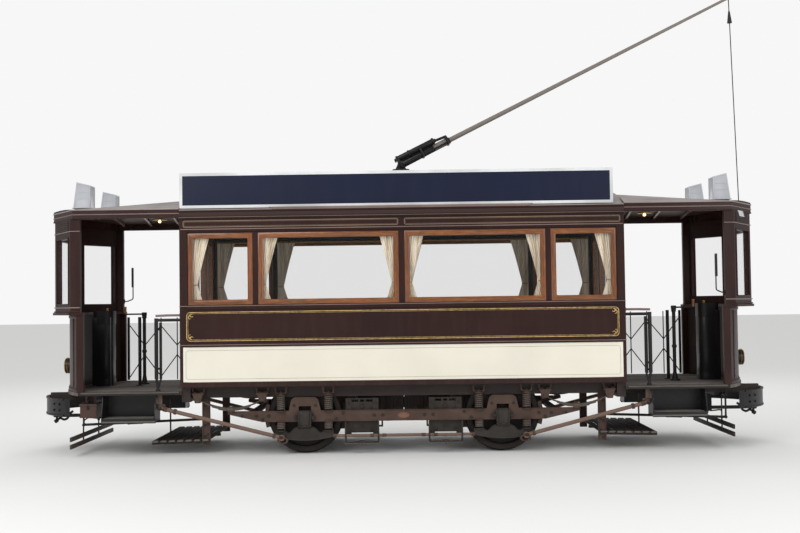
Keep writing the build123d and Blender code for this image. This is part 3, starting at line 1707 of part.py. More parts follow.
bracket_end_x = half_saloon - 253
bracket_places = (-bracket_end_x, -bracket_end_x / 2, 0, bracket_end_x / 2, bracket_end_x)
bracket_thickness = 8
bracket_leg = 34
bracket_reach = 420
with BuildPart() as board_brackets:
    for x in bracket_places:
        for way in (-1, 1):
            with BuildSketch(Plane.YZ.offset(x - bracket_thickness / 2)):
                with BuildLine():
                    Polyline(
                        (way * board_back_y, cornice_top),
                        (way * board_back_y, signboard_top - 40),
                        (way * (board_back_y - bracket_leg), signboard_top - 40),
                        (way * (signboard_y - bracket_reach), roof_crown - 60),
                        (way * (signboard_y - bracket_reach), roof_crown - 120),
                        (way * (signboard_y - bracket_reach + 60), roof_crown - 120),
                        (way * (board_back_y - bracket_leg), roof_crown + 10),
                        (way * (board_back_y - bracket_leg), cornice_top),
                        close=True,
                    )
                make_face()
                with Locations((0, roof_centre_z)):
                    Circle(roof_radius + seat_gap, mode=Mode.SUBTRACT)
            extrude(amount=bracket_thickness)
board_brackets.part.label = "board_brackets"
export_step(board_brackets.part, "parts/board_brackets.step")

# Roof end boxes: four upright sheet boxes on the canopies
with BuildPart() as box_pair:
    box_in_x = end_box_outer_x - end_box_length
    for way in (-1, 1):
        with BuildSketch(Plane.XZ.offset(-way * end_box_y + end_box_width / 2)):
            with BuildLine():
                Polyline(
                    (box_in_x, end_box_base),
                    (end_box_outer_x + 40, end_box_base),
                    (end_box_outer_x, end_box_base + end_box_height),
                    (box_in_x, end_box_base + end_box_height - 42),
                    close=True,
                )
            make_face()
        extrude(amount=-end_box_width)
    with Locations((0, 0, seat_gap)):
        add(canopy_end.part, mode=Mode.SUBTRACT)
with BuildPart() as roof_end_boxes:
    add(box_pair.part)
    mirror(box_pair.part, about=Plane.YZ)
roof_end_boxes.part.label = "roof_end_boxes"
export_step(roof_end_boxes.part, "parts/roof_end_boxes.step")

# Trolley plank and pedestal on the saloon roof
plank_bottom = roof_crown + 12
plank_top = plank_bottom + plank_thickness
with BuildPart() as trolley_plank:
    block(
        (-plank_length / 2, -plank_width / 2, plank_bottom),
        (plank_length / 2, plank_width / 2, plank_top),
    )
    for x in (-plank_length / 2 + 60, 0, plank_length / 2 - 60):
        block(
            (x - 30, -plank_width / 2, roof_crown - 40),
            (x + 30, plank_width / 2, plank_bottom),
        )
    with Locations((0, 0, roof_centre_z)):
        Cylinder(roof_radius + seat_gap, plank_length + 2, rotation=(0, 90, 0), mode=Mode.SUBTRACT)
    with Locations((0, 0, plank_top)):
        Cone(pedestal_foot, pedestal_head, pedestal_top - plank_top, align=BOTTOM)
trolley_plank.part.label = "trolley_plank"
export_step(trolley_plank.part, "parts/trolley_plank.step")

# Trolley base: turns on the pedestal and carries the pole's pivot between two cheeks
cheek_gap = 110
cheek_thickness = 18
pivot_pin_diameter = 36
swivel_bottom = pedestal_top + seat_gap
with BuildPart() as trolley_base:
    with Locations((0, 0, swivel_bottom)):
        Cylinder(105, 22, align=BOTTOM)
    for way in (-1, 1):
        cheek_y = cheek_gap / 2 if way > 0 else -cheek_gap / 2 - cheek_thickness
        with BuildSketch(Plane.XZ.offset(-cheek_y)):
            with BuildLine():
                Polyline(
                    (-70, swivel_bottom + 10),
                    (70, swivel_bottom + 10),
                    (30, pivot_z + 24),
                    (-30, pivot_z + 24),
                    close=True,
                )
            make_face()
        extrude(amount=-cheek_thickness)
    rod((0, -cheek_gap / 2, pivot_z), (0, cheek_gap / 2, pivot_z), pivot_pin_diameter / 2)
trolley_base.part.label = "trolley_base"
export_step(trolley_base.part, "parts/trolley_base.step")

# Trolley pole: a socket on the pivot pin with a spring barrel on each side, the pole and its harp
pole_run = Vector(cos(radians(pole_angle)), 0, sin(radians(pole_angle)))
pole_across = Vector(-sin(radians(pole_angle)), 0, cos(radians(pole_angle)))
pivot = Vector(0, 0, pivot_z)
socket_length = 620
pole_plane = Plane(origin=pivot, x_dir=(0, 1, 0), z_dir=pole_run)
harp_width = 46
harp_plate = 9
wheel_gap = 5
wheel_centre = pivot + pole_run * (pole_length + 70)
with BuildPart() as trolley_pole:
    with BuildSketch(pole_plane.offset(30)):
        Circle(44)
    extrude(amount=socket_length)
    with Locations(pole_plane.offset(socket_length).location):
        Cone(
            pole_root_diameter / 2,
            pole_tip_diameter / 2,
            pole_length - socket_length,
            align=BOTTOM,
        )
    rod((0, -cheek_gap / 2 + 6, pivot_z), (0, cheek_gap / 2 - 6, pivot_z), 42)
    rod(
        (0, -cheek_gap / 2 + 5, pivot_z),
        (0, cheek_gap / 2 - 5, pivot_z),
        pivot_pin_diameter / 2 + journal_clearance,
        mode=Mode.SUBTRACT,
    )
    with BuildSketch(pole_plane.offset(pole_length - 20)):
        Rectangle(2 * (harp_width / 2 + harp_plate), pole_tip_diameter + 8)
    extrude(amount=24)
    for way in (-1, 1):
        plate_y = harp_width / 2 if way > 0 else -harp_width / 2 - harp_plate
        with BuildSketch(pole_plane.offset(pole_length)):
            with Locations((plate_y + harp_plate / 2, 0)):
                Rectangle(harp_plate, 34)
        extrude(amount=90)
trolley_pole.part.label = "trolley_pole"
export_step(trolley_pole.part, "parts/trolley_pole.step")

# Trolley wheel: a small grooved wheel on a spindle between the harp's plates
wheel_half = harp_width / 2 - wheel_gap
with BuildPart() as trolley_wheel:
    with BuildSketch(Plane(wheel_centre, x_dir=(0, 1, 0), z_dir=(1, 0, 0))):
        with BuildLine():
            Polyline(
                (-wheel_half, 0),
                (-wheel_half, trolley_wheel_diameter / 2),
                (-5, trolley_wheel_diameter / 2 - 22),
                (5, trolley_wheel_diameter / 2 - 22),
                (wheel_half, trolley_wheel_diameter / 2),
                (wheel_half, 0),
                close=True,
            )
        make_face()
    revolve(axis=Axis(tuple(wheel_centre), (0, 1, 0)))
    rod(
        (wheel_centre.X, -harp_width / 2 + 0.2, wheel_centre.Z),
        (wheel_centre.X, harp_width / 2 - 0.2, wheel_centre.Z),
        8,
    )
trolley_wheel.part.label = "trolley_wheel"
export_step(trolley_wheel.part, "parts/trolley_wheel.step")
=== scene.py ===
import json
from math import atan2, cos, pi, radians, sin, sqrt

import bpy
from mathutils import Matrix, Vector


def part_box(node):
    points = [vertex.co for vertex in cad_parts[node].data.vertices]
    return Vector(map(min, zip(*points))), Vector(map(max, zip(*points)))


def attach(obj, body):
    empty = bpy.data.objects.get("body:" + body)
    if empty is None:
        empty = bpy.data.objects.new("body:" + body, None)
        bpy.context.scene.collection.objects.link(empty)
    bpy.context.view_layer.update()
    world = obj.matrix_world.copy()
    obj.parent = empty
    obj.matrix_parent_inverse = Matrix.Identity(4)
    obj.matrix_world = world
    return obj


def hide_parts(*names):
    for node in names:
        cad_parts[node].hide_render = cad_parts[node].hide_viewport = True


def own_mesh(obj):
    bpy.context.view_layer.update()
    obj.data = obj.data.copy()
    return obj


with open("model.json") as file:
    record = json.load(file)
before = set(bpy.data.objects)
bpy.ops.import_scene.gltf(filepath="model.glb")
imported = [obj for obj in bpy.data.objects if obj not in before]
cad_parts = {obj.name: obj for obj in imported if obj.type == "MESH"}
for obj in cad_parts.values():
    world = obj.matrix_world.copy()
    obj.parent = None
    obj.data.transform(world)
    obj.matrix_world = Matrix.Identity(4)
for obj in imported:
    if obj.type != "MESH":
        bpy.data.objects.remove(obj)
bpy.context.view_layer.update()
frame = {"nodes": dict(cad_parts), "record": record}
bpy.ops.object.select_all(action="DESELECT")

# Camera, found from the wheelbase, the wheels and the window posts


def place_camera():
    """Stands where the photographer stood."""
    yaw, pitch, roll = -0.0085, radians(1.954), radians(0.770)
    forward = Vector((sin(yaw) * cos(pitch), cos(yaw) * cos(pitch), sin(pitch)))
    level = Vector((cos(yaw), -sin(yaw), 0))
    above = level.cross(forward)
    right = cos(roll) * level - sin(roll) * above
    up = sin(roll) * level + cos(roll) * above
    data = bpy.data.cameras.new("camera")
    data.sensor_width = 36
    data.lens = 49.668
    camera = bpy.data.objects.new("camera", data)
    turn = Matrix((right, up, -forward)).transposed().to_4x4()
    camera.matrix_world = Matrix.Translation((0.0882, -13.634, 1.7155)) @ turn
    bpy.context.scene.collection.objects.link(camera)
    bpy.context.scene.camera = camera


place_camera()


# Finishes. Colours are written as on a colour card, 0 to 255


def card(red, green, blue):
    """A colour card's colour as the light values that a shader takes."""
    linear = []
    for value in (red, green, blue):
        share = value / 255
        linear.append(share / 12.92 if share <= 0.04045 else ((share + 0.055) / 1.055) ** 2.4)
    return (*linear, 1)


class Reading:
    """A value or colour in a finish. Plain maths on it adds the nodes that work it out."""

    def __init__(self, finish, socket):
        self.finish = finish
        self.socket = socket

    def maths(self, operation, *others):
        return self.finish.node("ShaderNodeMath", {"operation": operation}, [self, *others])

    def turned(self, operation, other):
        return self.finish.node("ShaderNodeMath", {"operation": operation}, [other, self])

    def __add__(self, other):
        return self.maths("ADD", other)

    def __radd__(self, other):
        return self.maths("ADD", other)

    def __sub__(self, other):
        return self.maths("SUBTRACT", other)

    def __rsub__(self, other):
        return self.turned("SUBTRACT", other)

    def __mul__(self, other):
        return self.maths("MULTIPLY", other)

    def __rmul__(self, other):
        return self.maths("MULTIPLY", other)

    def __truediv__(self, other):
        return self.maths("DIVIDE", other)

    def __rtruediv__(self, other):
        return self.turned("DIVIDE", other)

    def __neg__(self):
        return self.maths("MULTIPLY", -1.0)

    def above(self, level):
        return self.maths("GREATER_THAN", level)

    def below(self, level):
        return self.maths("LESS_THAN", level)

    def folded(self, period):
        return self.maths("PINGPONG", period)

    def stepped(self):
        return self.maths("FLOOR")

    def fade(self, low, high):
        """0 below low, 1 above high, and a soft slope between."""
        settings = {"interpolation_type": "SMOOTHSTEP"}
        return self.finish.node("ShaderNodeMapRange", settings, [self, low, high, 0.0, 1.0])


class Finish:
    """A material for one kind of surface, put together from small named steps."""

    def __init__(self, name, **plain):
        self.material = bpy.data.materials.new(name)
        self.material.use_nodes = True
        self.tree = self.material.node_tree
        self.shader = self.tree.nodes["Principled BSDF"]
        for word, value in plain.items():
            self.shader.inputs[word.replace("_", " ")].default_value = value

    def node(self, kind, settings=None, values=(), output=0):
        made = self.tree.nodes.new(kind)
        for name, value in (settings or {}).items():
            if name == "stops":
                ramp = made.color_ramp.elements
                while len(ramp) < len(value):
                    ramp.new(0.5)
                for stop, (place, colour) in zip(ramp, value):
                    stop.position = place
                    stop.color = colour
            else:
                setattr(made, name, value)
        pairs = values.items() if isinstance(values, dict) else enumerate(values)
        for key, value in pairs:
            if isinstance(value, Reading):
                self.tree.links.new(value.socket, made.inputs[key])
            else:
                made.inputs[key].default_value = value
        return Reading(self, made.outputs[output])

    def place(self):
        return self.node("ShaderNodeTexCoord", output="Object")

    def axes(self):
        place = self.place()
        return [self.node("ShaderNodeSeparateXYZ", values=[place], output=n) for n in range(3)]

    def noise(self, scale, detail=3.0, rough=0.55, stretch=(1, 1, 1), at=None):
        scaled = self.node("ShaderNodeMapping", values={0: at or self.place(), "Scale": stretch})
        values = {"Vector": scaled, "Scale": scale, "Detail": detail, "Roughness": rough}
        return self.node("ShaderNodeTexNoise", values=values)

    def blend(self, first, second, share):
        settings = {"data_type": "RGBA"}
        return self.node("ShaderNodeMix", settings, {0: share, 6: first, 7: second}, output=2)

    def bump(self, height, strength, distance):
        values = {"Height": height, "Strength": strength, "Distance": distance}
        return self.node("ShaderNodeBump", values=values)

    def feed(self, **readings):
        for word, reading in readings.items():
            self.tree.links.new(reading.socket, self.shader.inputs[word.replace("_", " ")])
        return self.material


def enamel(name, colour, dusty, rough=0.22, grime=0.10, low_dust=0.35, gloss=0.25, even=0.86):
    """Old coach enamel: soft waves in the gloss, some grime, and road dust low down."""
    paint = Finish(
        name, Coat_Weight=gloss, Coat_Roughness=0.12, Specular_IOR_Level=0.1 + 0.8 * gloss
    )
    height = paint.axes()[2]
    streaks = paint.noise(3.0, 4.0, stretch=(5, 5, 0.6)).fade(0.42, 0.75)
    cloud = paint.noise(1.3, 3.0)
    low = 1 - height.fade(0.35, 1.2)
    dust = (low * low_dust + grime) * (streaks * 0.7 + cloud * 0.5)
    shade = paint.blend(card(*colour), card(*[c * even for c in colour]), cloud.fade(0.35, 0.7))
    base = paint.blend(shade, card(*dusty), dust)
    wave = paint.noise(30.0, 2.0)
    return paint.feed(
        Base_Color=base,
        Roughness=dust * 0.7 + rough,
        Normal=paint.bump(wave, 0.05, 0.0015),
    )


def roof_skin(name, canvas, stain, paint_colour, ceiling):
    """Roof shells: painted canvas above, enamel on the upright edges, boards beneath."""
    skin = Finish(name, Specular_IOR_Level=0.3)
    facing = skin.node("ShaderNodeNewGeometry", output="Normal")
    upward = skin.node("ShaderNodeSeparateXYZ", values=[facing], output=2)
    along, across, _ = skin.axes()
    stains = skin.noise(1.7, 5.0, 0.62, stretch=(1, 2.4, 1)).fade(0.38, 0.7)
    seams = (along / 0.62).folded(0.5).below(0.006)
    weave = skin.noise(260.0, 2.0)
    top = skin.blend(card(*canvas), card(*stain), stains * 0.7 + seams * 0.3)
    gaps = (across / 0.085).folded(0.5).below(0.02)
    boarding = skin.blend(card(*ceiling), card(*[c * 0.62 for c in ceiling]), gaps * 0.8)
    on_top, below = upward.fade(0.7, 0.8), (-upward).fade(0.3, 0.45)
    base = skin.blend(card(*paint_colour), top, on_top)
    base = skin.blend(base, boarding, below)
    return skin.feed(
        Base_Color=base,
        Roughness=on_top * 0.45 + below * 0.2 + stains * 0.08 + 0.24,
        Normal=skin.bump(weave * on_top * 0.4 - seams * 1.5 * on_top - gaps * below, 0.2, 0.002),
    )


def iron(name, colour, dusty, rusty, rough=0.55, metallic=0.35, dust=0.5, grit=90.0):
    """Cast or forged iron: pitted skin, settled road dust and some rust at the edges."""
    skin = Finish(name, Metallic=metallic, Specular_IOR_Level=0.4)
    patch = skin.noise(5.0, 5.0, 0.6)
    rust = skin.noise(14.0, 5.0, 0.65).fade(0.56, 0.72)
    up = skin.node("ShaderNodeNewGeometry", output="Normal")
    upward = skin.node("ShaderNodeSeparateXYZ", values=[up], output=2)
    settled = (upward.fade(0.1, 0.9) * 0.5 + patch.fade(0.35, 0.75) * 0.6) * dust
    base = skin.blend(card(*colour), card(*rusty), rust * 0.55)
    base = skin.blend(base, card(*dusty), settled)
    pits = skin.noise(grit, 3.0, 0.6)
    return skin.feed(
        Base_Color=base,
        Roughness=settled * 0.35 + rough,
        Normal=skin.bump(pits, 0.25, 0.002),
    )


def varnished(name, light, dark, grain=(1.2, 14, 14)):
    """Varnished hardwood with its grain along one axis."""
    wood = Finish(name, Coat_Weight=0.45, Coat_Roughness=0.12)
    fibre = wood.noise(6.0, 6.0, 0.62, stretch=grain)
    pores = wood.noise(40.0, 4.0, 0.6, stretch=grain)
    broad = wood.noise(1.1, 2.0)
    tone = (fibre * 0.75 + broad * 0.25).fade(0.36, 0.66)
    base = wood.blend(card(*dark), card(*light), tone)
    base = wood.blend(base, card(*[c * 0.55 for c in dark]), pores.fade(0.6, 0.72) * 0.5)
    return wood.feed(
        Base_Color=base,
        Roughness=pores * 0.2 + 0.28,
        Normal=wood.bump(pores, 0.15, 0.001),
    )


def boards(name, light, dark, width=0.11, along=0):
    """Floor boards or slats: plank joints across one axis, worn grain along the other."""
    wood = Finish(name, Specular_IOR_Level=0.3)
    across = wood.axes()[1 - along]
    plank = (across / width).stepped()
    joint = (across / width).folded(0.5).below(0.035)
    stretch = (1.0, 16, 16) if along == 0 else (16, 1.0, 16)
    fibre = wood.noise(7.0, 5.0, 0.6, stretch=stretch)
    tone = wood.node("ShaderNodeTexWhiteNoise", {"noise_dimensions": "1D"}, {"W": plank})
    base = wood.blend(card(*dark), card(*light), (fibre * 0.7 + tone * 0.3).fade(0.3, 0.7))
    base = wood.blend(base, card(22, 18, 16), joint * 0.85)
    return wood.feed(
        Base_Color=base,
        Roughness=fibre * 0.25 + 0.6,
        Normal=wood.bump(fibre - joint * 0.8, 0.3, 0.002),
    )


def cloth(name, colour, shaded):
    """Cotton cloth with a fine weave and a little of the light coming through. Long vertical streaks blend in
    a darker cream: painted shade standing for the creases of the folds.
    """
    woven = Finish(name, Roughness=0.85, Specular_IOR_Level=0.1, Sheen_Weight=0.2)
    # painted shade: long vertical streaks that darken the cloth as if in the folds' creases
    soft = woven.noise(26.0, 2.0, stretch=(1, 1, 0.05))
    threads = woven.noise(420.0, 2.0, stretch=(1, 1, 0.3))
    base = woven.blend(card(*colour), card(*shaded), soft.fade(0.42, 0.66))
    return woven.feed(Base_Color=base, Normal=woven.bump(threads, 0.05, 0.0006))


def glow(name, colour, strength):
    """A lit lamp behind clear glass."""
    lamp = Finish(name, Roughness=0.2, Emission_Strength=strength)
    lamp.shader.inputs["Base Color"].default_value = card(*colour)
    core = lamp.noise(20.0, 2.0)
    return lamp.feed(Emission_Color=lamp.blend(card(*colour), card(255, 228, 180), core))


def clear_glass(name):
    """Old window glass, thin and slightly uneven, that lets the view through."""
    pane = Finish(name, Roughness=0.03, IOR=1.45, Specular_IOR_Level=0.6)
    pane.shader.inputs["Base Color"].default_value = card(70, 78, 78)
    pane.shader.inputs["Alpha"].default_value = 0.06
    wave = pane.noise(2.2, 2.0)
    return pane.feed(Normal=pane.bump(wave, 0.05, 0.01))


def plain_metal(name, colour, rough, metallic=1.0):
    metal = Finish(name, Metallic=metallic)
    wear = metal.noise(30.0, 4.0, 0.6)
    base = metal.blend(card(*colour), card(*[c * 0.7 for c in colour]), wear.fade(0.4, 0.7))
    return metal.feed(
        Base_Color=base,
        Roughness=wear * 0.25 + (rough - 0.1),
        Normal=metal.bump(wear, 0.08, 0.001),
    )


finishes = {
    "brown_paint": enamel("brown_paint", (50, 30, 28), (88, 72, 64), 0.34, gloss=0.05),
    "cream_paint": enamel(
        "cream_paint", (230, 225, 210), (200, 192, 174), 0.28, 0.02, 0.12, even=0.975
    ),
    "varnished_wood": varnished("varnished_wood", (158, 96, 34), (108, 60, 20)),
    "floor_wood": boards("floor_wood", (112, 105, 100), (74, 69, 65)),
    "roof_paint": roof_skin(
        "roof_paint", (156, 148, 146), (116, 107, 104), (50, 30, 28), (72, 56, 46)
    ),
    "truck_iron": iron("truck_iron", (76, 58, 50), (118, 100, 88), (96, 60, 44)),
    "spring_steel": iron("spring_steel", (88, 78, 71), (128, 116, 106), (104, 74, 58)),
    # near black: painted shade for the inside of the coil springs, carried by their guides
    "painted_bore_shade": iron("painted_bore_shade", (20, 17, 16), (40, 35, 32), (36, 27, 23), 0.8, 0.0, 0.2),
    "wheel_steel": iron("wheel_steel", (34, 29, 27), (64, 55, 50), (58, 40, 31)),
    "black_paint": iron("black_paint", (22, 20, 20), (60, 56, 54), (46, 36, 32), 0.38, 0.0, 0.2),
    "dark_iron": iron("dark_iron", (22, 20, 20), (66, 60, 56), (46, 35, 30), 0.42, 0.1, 0.22),
    "box_iron": iron("box_iron", (48, 44, 41), (84, 77, 71), (68, 50, 42), 0.5, 0.3, 0.4),
    "frame_iron": iron("frame_iron", (44, 34, 31), (84, 70, 62), (72, 48, 38), 0.5, 0.1, 0.3),
    "guard_wood": boards("guard_wood", (70, 60, 54), (44, 37, 33), 0.3, 1),
    "oxide_paint": iron("oxide_paint", (70, 46, 38), (94, 74, 66), (62, 38, 28), 0.5, 0.0, 0.35),
    "rail_steel": plain_metal("rail_steel", (150, 148, 144), 0.4),
    "brass": plain_metal("brass", (196, 152, 78), 0.32),
    "navy_paint": enamel("navy_paint", (18, 25, 52), (46, 50, 70), 0.3, 0.06, 0.0, even=0.93),
    "light_grey_paint": enamel("light_grey_paint", (188, 191, 197), (150, 148, 146), 0.4, 0.15, 0.0),
    "clear_glass": clear_glass("clear_glass"),
    "lamp_glass": clear_glass("lamp_glass"),
    # the second colour is the painted shade in the curtains' fold creases
    "curtain_cloth": cloth("curtain_cloth", (252, 243, 226), (208, 190, 164)),
    "rail_wood": varnished("rail_wood", (150, 88, 34), (100, 54, 18), (1.2, 14, 14)),
    "stile_wood": varnished("stile_wood", (142, 80, 32), (94, 50, 18), (14, 14, 1.2)),
    "gold_leaf": plain_metal("gold_leaf", (216, 182, 112), 0.45, 0.1),
    "dun_line": enamel("dun_line", (158, 138, 114), (128, 112, 100), 0.4),
    "thin_line": enamel("thin_line", (150, 140, 120), (120, 110, 98), 0.4),
    "cast_enamel": enamel("cast_enamel", (22, 21, 21), (60, 57, 55), 0.36, 0.15, gloss=0.12),
    "white_paint": enamel("white_paint", (226, 228, 230), (176, 174, 170), 0.35, 0.15, 0.0),
    "joint_line": enamel("joint_line", (16, 18, 36), (50, 50, 64), 0.5, 0.1, 0.0),
    # painted highlight: a pale pinkish grey for the light caught by rounded beads, ribs and rails
    "painted_highlight": enamel("painted_highlight", (124, 102, 96), (146, 130, 120), 0.26, 0.2),
    "edge_canvas": enamel("edge_canvas", (158, 146, 142), (120, 110, 106), 0.5, 0.3, 0.0),
    "rope_hemp": iron("rope_hemp", (44, 40, 38), (96, 88, 80), (70, 54, 44), 0.8, 0.0, 0.2),
    "lit_bulb": glow("lit_bulb", (255, 200, 120), 2.5),
    "frosted_bulb": enamel("frosted_bulb", (226, 222, 206), (190, 184, 168), 0.4, 0.1, 0.0),
    # pale worn edges on treads and strap feet; on the tray slats' noses the same paleness is painted sunlight
    "wear_and_sunlight": iron("wear_and_sunlight", (96, 91, 86), (128, 121, 112), (82, 72, 64), 0.7, 0.1, 0.5),
    "bench_wood": boards("bench_wood", (150, 92, 46), (104, 58, 26), 0.052),
    "pole_paint": iron("pole_paint", (122, 114, 108), (148, 142, 136), (96, 80, 70), 0.45, 0.1, 0.3),
    "bolt_iron": iron("bolt_iron", (54, 43, 38), (82, 70, 62), (78, 50, 38), 0.5, 0.3, 0.3),
    "rod_iron": iron("rod_iron", (110, 88, 76), (140, 120, 106), (112, 76, 58), 0.55, 0.2, 0.5),
    # pale steel for the controllers' cover strips, partly a painted highlight on their rounded fronts
    "strip_steel_and_highlight": iron("strip_steel_and_highlight", (104, 104, 106), (128, 126, 122), (92, 80, 72), 0.4, 0.3, 0.3),
    "bumper_paint": iron("bumper_paint", (21, 21, 25), (52, 51, 53), (44, 36, 33), 0.38, 0.0, 0.2),
    "mirror_glass": plain_metal("mirror_glass", (214, 218, 222), 0.16),
    "badge_paint": iron("badge_paint", (122, 84, 70), (138, 110, 96), (100, 66, 52), 0.55, 0.1, 0.3),
}

slot_of = {entry["node"]: entry["material_slot"] for entry in frame["record"]["subparts"]}
finish_of = {
    "underframe": "frame_iron",
    "axle_boxes": "box_iron",
    "spring_cradles": "box_iron",
    "benches": "bench_wood",
    "trolley_pole": "pole_paint",
    "tie_rods": "rod_iron",
    "bumpers": "bumper_paint",
    "steps": "bumper_paint",
    "trolley_base": "dark_iron",
    "truck_straps": "box_iron",
}
for node_name, node in frame["nodes"].items():
    node.data.materials.clear()
    node.data.materials.append(finishes[finish_of.get(node_name, slot_of[node_name])])

# Shaping tools. Each leaves one object at the origin, with its place in its mesh


def choose(*pieces):
    """Selects these pieces and nothing else, the last one active."""
    bpy.ops.object.select_all(action="DESELECT")
    for piece in pieces:
        piece.select_set(True)
    bpy.context.view_layer.objects.active = pieces[-1]


def settle():
    """Puts the new primitive's place into its mesh."""
    bpy.ops.object.transform_apply(location=True, rotation=True, scale=True)
    return bpy.context.object


def block(low, high):
    """A squared length of stuff between two opposite corners."""
    bpy.ops.object.select_all(action="DESELECT")
    corner, other = Vector(low), Vector(high)
    bpy.ops.mesh.primitive_cube_add(size=1, location=(corner + other) / 2)
    bpy.context.object.scale = [abs(a - b) for a, b in zip(corner, other)]
    return settle()


def round_bar(start, end, radius, sides=14, tip=None):
    """A round bar from one point to another, tapering to tip if that is given."""
    bpy.ops.object.select_all(action="DESELECT")
    run = Vector(end) - Vector(start)
    bpy.ops.mesh.primitive_cone_add(
        vertices=sides,
        radius1=radius,
        radius2=radius if tip is None else tip,
        depth=run.length,
        location=(Vector(start) + Vector(end)) / 2,
        rotation=run.to_track_quat("Z", "Y").to_euler(),
    )
    return settle()


def ring(centre, axis, radius, thickness, around=40, section=10):
    bpy.ops.object.select_all(action="DESELECT")
    bpy.ops.mesh.primitive_torus_add(
        major_radius=radius,
        minor_radius=thickness,
        major_segments=around,
        minor_segments=section,
        location=centre,
        rotation=Vector(axis).to_track_quat("Z", "Y").to_euler(),
    )
    return settle()


def apply(piece, kind, **settings):
    """Adds a modifier with these settings and applies it."""
    choose(piece)
    modifier = piece.modifiers.new(kind.lower(), kind)
    for name, value in settings.items():
        setattr(modifier, name, value)
    bpy.ops.object.modifier_apply(modifier=modifier.name)
    return piece


def ease(piece, width, steps=2, angle=35):
    """Rounds the sharp edges."""
    return apply(
        piece,
        "BEVEL",
        width=width,
        segments=steps,
        limit_method="ANGLE",
        angle_limit=radians(angle),
        use_clamp_overlap=True,
    )


def pick(piece, wanted):
    """Goes into edit mode with just the wanted faces selected."""
    choose(piece)
    bpy.ops.object.mode_set(mode="EDIT")
    bpy.ops.mesh.select_mode(type="FACE")
    bpy.ops.mesh.select_all(action="DESELECT")
    bpy.ops.object.mode_set(mode="OBJECT")
    for face in piece.data.polygons:
        face.select = bool(wanted(face))
    bpy.ops.object.mode_set(mode="EDIT")


def done():
    bpy.ops.object.mode_set(mode="OBJECT")


def copied(piece, move=(0, 0, 0), turn=None):
    """A copy with its own mesh, moved, after any turn matrix."""
    other = piece.copy()
    other.data = piece.data.copy()
    bpy.context.scene.collection.objects.link(other)
    other.data.transform(Matrix.Translation(move) @ (turn or Matrix()))
    return other


def mirrored(piece, axis):
    """A mirror image across the car's middle, along X for axis 0 and Y for axis 1."""
    other = copied(piece)
    other.data.transform(Matrix.Scale(-1, 4, Vector([float(n == axis) for n in range(3)])))
    other.data.flip_normals()
    return other


def both(pieces, axis):
    """The pieces and their mirror images."""
    return [*pieces, *[mirrored(piece, axis) for piece in pieces]]


def joined(pieces):
    choose(*pieces)
    if len(pieces) > 1:
        bpy.ops.object.join()
    return bpy.context.object


def fitted(pieces, name, slot, body="car", finish=None, replaces=(), angle=35):
    """Joins the pieces to one clean named piece that rides a body."""
    piece = joined(pieces)
    piece.name = piece.data.name = name
    bpy.ops.object.mode_set(mode="EDIT")
    bpy.ops.mesh.select_all(action="SELECT")
    bpy.ops.mesh.normals_make_consistent(inside=False)
    bpy.ops.object.mode_set(mode="OBJECT")
    bpy.ops.object.shade_smooth_by_angle(angle=radians(angle))
    if not (finish is None and len(piece.data.materials) > 1):
        piece.data.materials.clear()
        piece.data.materials.append(finishes[finish or slot])
    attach(piece, body)
    if replaces:
        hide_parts(*replaces)
    return piece


def sliced(piece, places, axis=0):
    """The piece, cut across at these places along one axis, so that it can be bent."""
    choose(piece)
    bpy.ops.object.mode_set(mode="EDIT")
    normal = [float(n == axis) for n in range(3)]
    for place in places:
        bpy.ops.mesh.select_all(action="SELECT")
        bpy.ops.mesh.bisect(plane_co=[place * n for n in normal], plane_no=normal)
    done()
    return piece


def led_along(piece, path):
    """Bends a piece made along X, one unit to a step, so that it follows the path."""
    points = [Vector(point) for point in path]
    last = len(points) - 1
    for point in piece.data.vertices:
        step = min(last, max(0, round(point.co.x)))
        before, after = points[max(0, step - 1)], points[min(last, step + 1)]
        along = (after - before).normalized()
        side = Vector((0, 1, 0)) if abs(along.y) < 0.9 else Vector((0, 0, 1))
        up = along.cross(side).normalized()
        side = up.cross(along)
        stretch = 1.0
        if 0 < step < last:
            run = (after - points[step]).normalized()
            stretch = 1 / max(0.6, along.dot(run))
        point.co = points[step] + side * point.co.y - up * point.co.z * stretch
    return piece


def bent_strip(path, width, thick):
    """A flat bar that follows the path, with its width across the car."""
    strip = block((0, -width / 2, -thick / 2), (len(path) - 1, width / 2, thick / 2))
    sliced(strip, range(1, len(path) - 1))
    return ease(led_along(strip, path), thick * 0.2, 1, 50)


def bent_rod(path, radius, sides=12):
    """A round rod that follows the path."""
    rod = round_bar((0, 0, 0), (len(path) - 1, 0, 0), radius, sides)
    return led_along(sliced(rod, range(1, len(path) - 1)), path)


def rounded(corners, radius, steps=5):
    """The path through these corners, with each inner corner rounded."""
    path = [Vector(corners[0])]
    for before, corner, after in zip(corners, corners[1:], corners[2:]):
        corner = Vector(corner)
        back = (Vector(before) - corner).normalized() * radius
        on = (Vector(after) - corner).normalized() * radius
        for step in range(steps + 1):
            share = step / steps
            path.append(corner + back * (1 - share) ** 2 + on * share**2)
    return [*path, Vector(corners[-1])]


